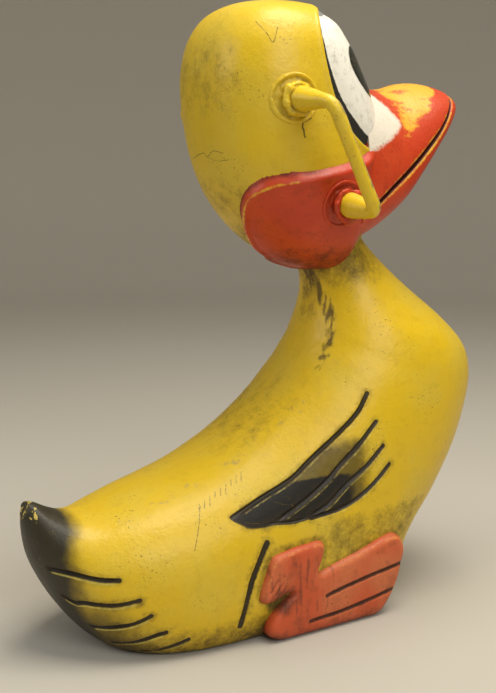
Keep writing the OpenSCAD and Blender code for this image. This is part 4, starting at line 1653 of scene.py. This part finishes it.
    def build(self, wardrobe: Wardrobe) -> dict[str, bpy.types.Object]:
        """Models the right handle with its pads and beads, and copies them to the left.

        Args:
            wardrobe: The finishes.

        Returns:
            The pieces by the names of the nodes that they stand for.
        """
        right = {
            "handle": self.bar(wardrobe),
            "upper_boss": self.boss("upper_boss_right_pad", self.boss_upper, 0.0, wardrobe.head_pad),
            "lower_boss": self.boss("lower_boss_right_pad", self.boss_lower, 8.2, wardrobe.bill),
            "upper_weld": self.weld("upper_weld_right_bead", self.boss_upper, self.elbow_upper, 0.7,
                                    wardrobe.handle),
            "lower_weld": self.weld("lower_weld_right_bead", self.boss_lower, self.elbow_lower, 2.9,
                                    wardrobe.bill)}
        found = {}
        for node, piece in right.items():
            found[f"{node}_right"] = piece
            found[f"{node}_left"] = mirrored(piece, piece.name.replace("_right_", "_left_"))
        return found


# ---- Stage ------------------------------------------------------------------


@dataclass(frozen=True)
class Studio:
    """The floor, the lights and the camera."""

    azimuth: float = 32.0
    elevation: float = 10.0
    distance: float = 1405.0
    target: tuple = (-16.0, 0.0, 340.0)
    lens: float = 57.5

    def floor(self) -> None:
        """Lays a pale floor that curves up far behind the duck."""
        profile = smooth_line(((60, 0), (1500, 0), (2800, 0), (3300, 60), (3700, 260), (3950, 600),
                               (4050, 1100), (4100, 1900), (4100, 2600)), 4)
        turns = np.linspace(0.0, 2.0 * math.pi, 96, endpoint=False)
        rings = np.stack([np.outer(profile[:, 0], np.cos(turns)), np.outer(profile[:, 0], np.sin(turns)),
                          np.repeat(profile[:, 1:] - 0.6, 96, axis=1)], axis=2)
        floor = wrap("studio_floor", rings, np.array((0, 0, -0.6)), np.array((0, 0, 2600)))
        select_faces(floor, face_values(floor, points_of(floor)[:, 2]) > 2500.0)
        bpy.ops.mesh.delete(type="FACE")
        bpy.ops.object.mode_set(mode="OBJECT")
        shade(floor, 60.0)
        material = bpy.data.materials.new("studio_paper")
        material.use_nodes = True
        shader = material.node_tree.nodes["Principled BSDF"]
        shader.inputs["Base Color"].default_value = linear("#b9b4a9")
        shader.inputs["Roughness"].default_value = 0.9
        floor.data.materials.append(material)

    def lamp(self, name: str, place: tuple, aim: tuple, size: float, watts: float, colour: str) -> None:
        """Adds a soft square light.

        Args:
            name: Its name.
            place: Where it hangs, in metres.
            aim: The point that it faces.
            size: Its edge in metres.
            watts: Its power.
            colour: Its colour.
        """
        data = bpy.data.lights.new(name, "AREA")
        data.size = size
        data.energy = watts
        data.color = linear(colour)[:3]
        lamp = bpy.data.objects.new(name, data)
        lamp.location = place
        lamp.rotation_euler = (Vector(aim) - Vector(place)).to_track_quat("-Z", "Y").to_euler()
        bpy.context.scene.collection.objects.link(lamp)

    def build(self) -> None:
        """Sets up the whole stage."""
        scene = bpy.context.scene
        self.floor()
        world = bpy.data.worlds.new("studio_air")
        world.use_nodes = True
        world.node_tree.nodes["Background"].inputs["Color"].default_value = linear("#e4dfd4")
        world.node_tree.nodes["Background"].inputs["Strength"].default_value = 0.36
        scene.world = world
        self.lamp("overhead_softbox", (0.25, -0.35, 2.3), (0.0, 0.0, 0.3), 1.4, 52.0, "#fff8ea")
        self.lamp("right_fill", (-0.2, -2.3, 1.6), (0.0, 0.0, 0.5), 1.4, 25.0, "#ffffff")
        self.lamp("rear_fill", (-2.2, 0.7, 1.5), (-0.1, 0.0, 0.4), 1.2, 13.0, "#ffffff")
        a, e = math.radians(self.azimuth), math.radians(self.elevation)
        ahead = Vector((math.sin(a) * math.cos(e), math.cos(a) * math.cos(e), -math.sin(e)))
        data = bpy.data.cameras.new("camera")
        data.lens = self.lens
        data.sensor_width = 36.0
        camera = bpy.data.objects.new("camera", data)
        camera.location = (Vector(self.target) - ahead * self.distance) * MM
        camera.rotation_euler = ahead.to_track_quat("-Z", "Y").to_euler()
        scene.collection.objects.link(camera)
        scene.camera = camera
        scene.view_settings.view_transform = "Standard"


# ---- Assembly ---------------------------------------------------------------


def keep_node(node: str, material: bpy.types.Material) -> None:
    """Gives a node that keeps its own mesh a new finish."""
    mesh_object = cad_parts[node]
    mesh_object.data.materials.clear()
    mesh_object.data.materials.append(material)
    LOG.info("%s keeps its shape, finish %s", node, material.name)


def register(piece: bpy.types.Object, node: str) -> None:
    """Ties a piece to the body and hides the node that it stands for.

    Args:
        piece: The finished piece.
        node: The node that it replaces.
    """
    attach(piece, "root")
    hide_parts(node)
    LOG.info("%s stands for %s, %d faces", piece.name, node, len(piece.data.polygons))


def main() -> None:
    """Builds every sub-assembly in order."""
    logging.basicConfig(level=logging.INFO, format="%(message)s")
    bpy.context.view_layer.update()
    Studio().build()
    wardrobe = make_wardrobe()
    for piece, side in zip(Torso().build(wardrobe), Side):
        register(piece, f"torso_{side.word}_shell")
    head = Head()
    for piece, side in zip(head.build(wardrobe), Side):
        register(piece, f"head_{side.word}_shell")
    for piece, side in zip(Cheeks(head).build(wardrobe), Side):
        register(piece, f"cheek_{side.word}")
    for piece, node in zip(Bill().build(wardrobe), ("upper_bill", "lower_bill")):
        register(piece, node)
    for piece, side in zip(Feet().build(wardrobe), Side):
        register(piece, f"foot_{side.word}")
    for node, piece in Handles(head).build(wardrobe).items():
        register(piece, node)
    keep_node("neck_sleeve", wardrobe.plate)
    keep_node("spring_plate", wardrobe.plate)
    keep_node("plate_bolts", wardrobe.zinc)
    keep_node("plate_washers", wardrobe.zinc)


if __name__ == "__main__":
    main()
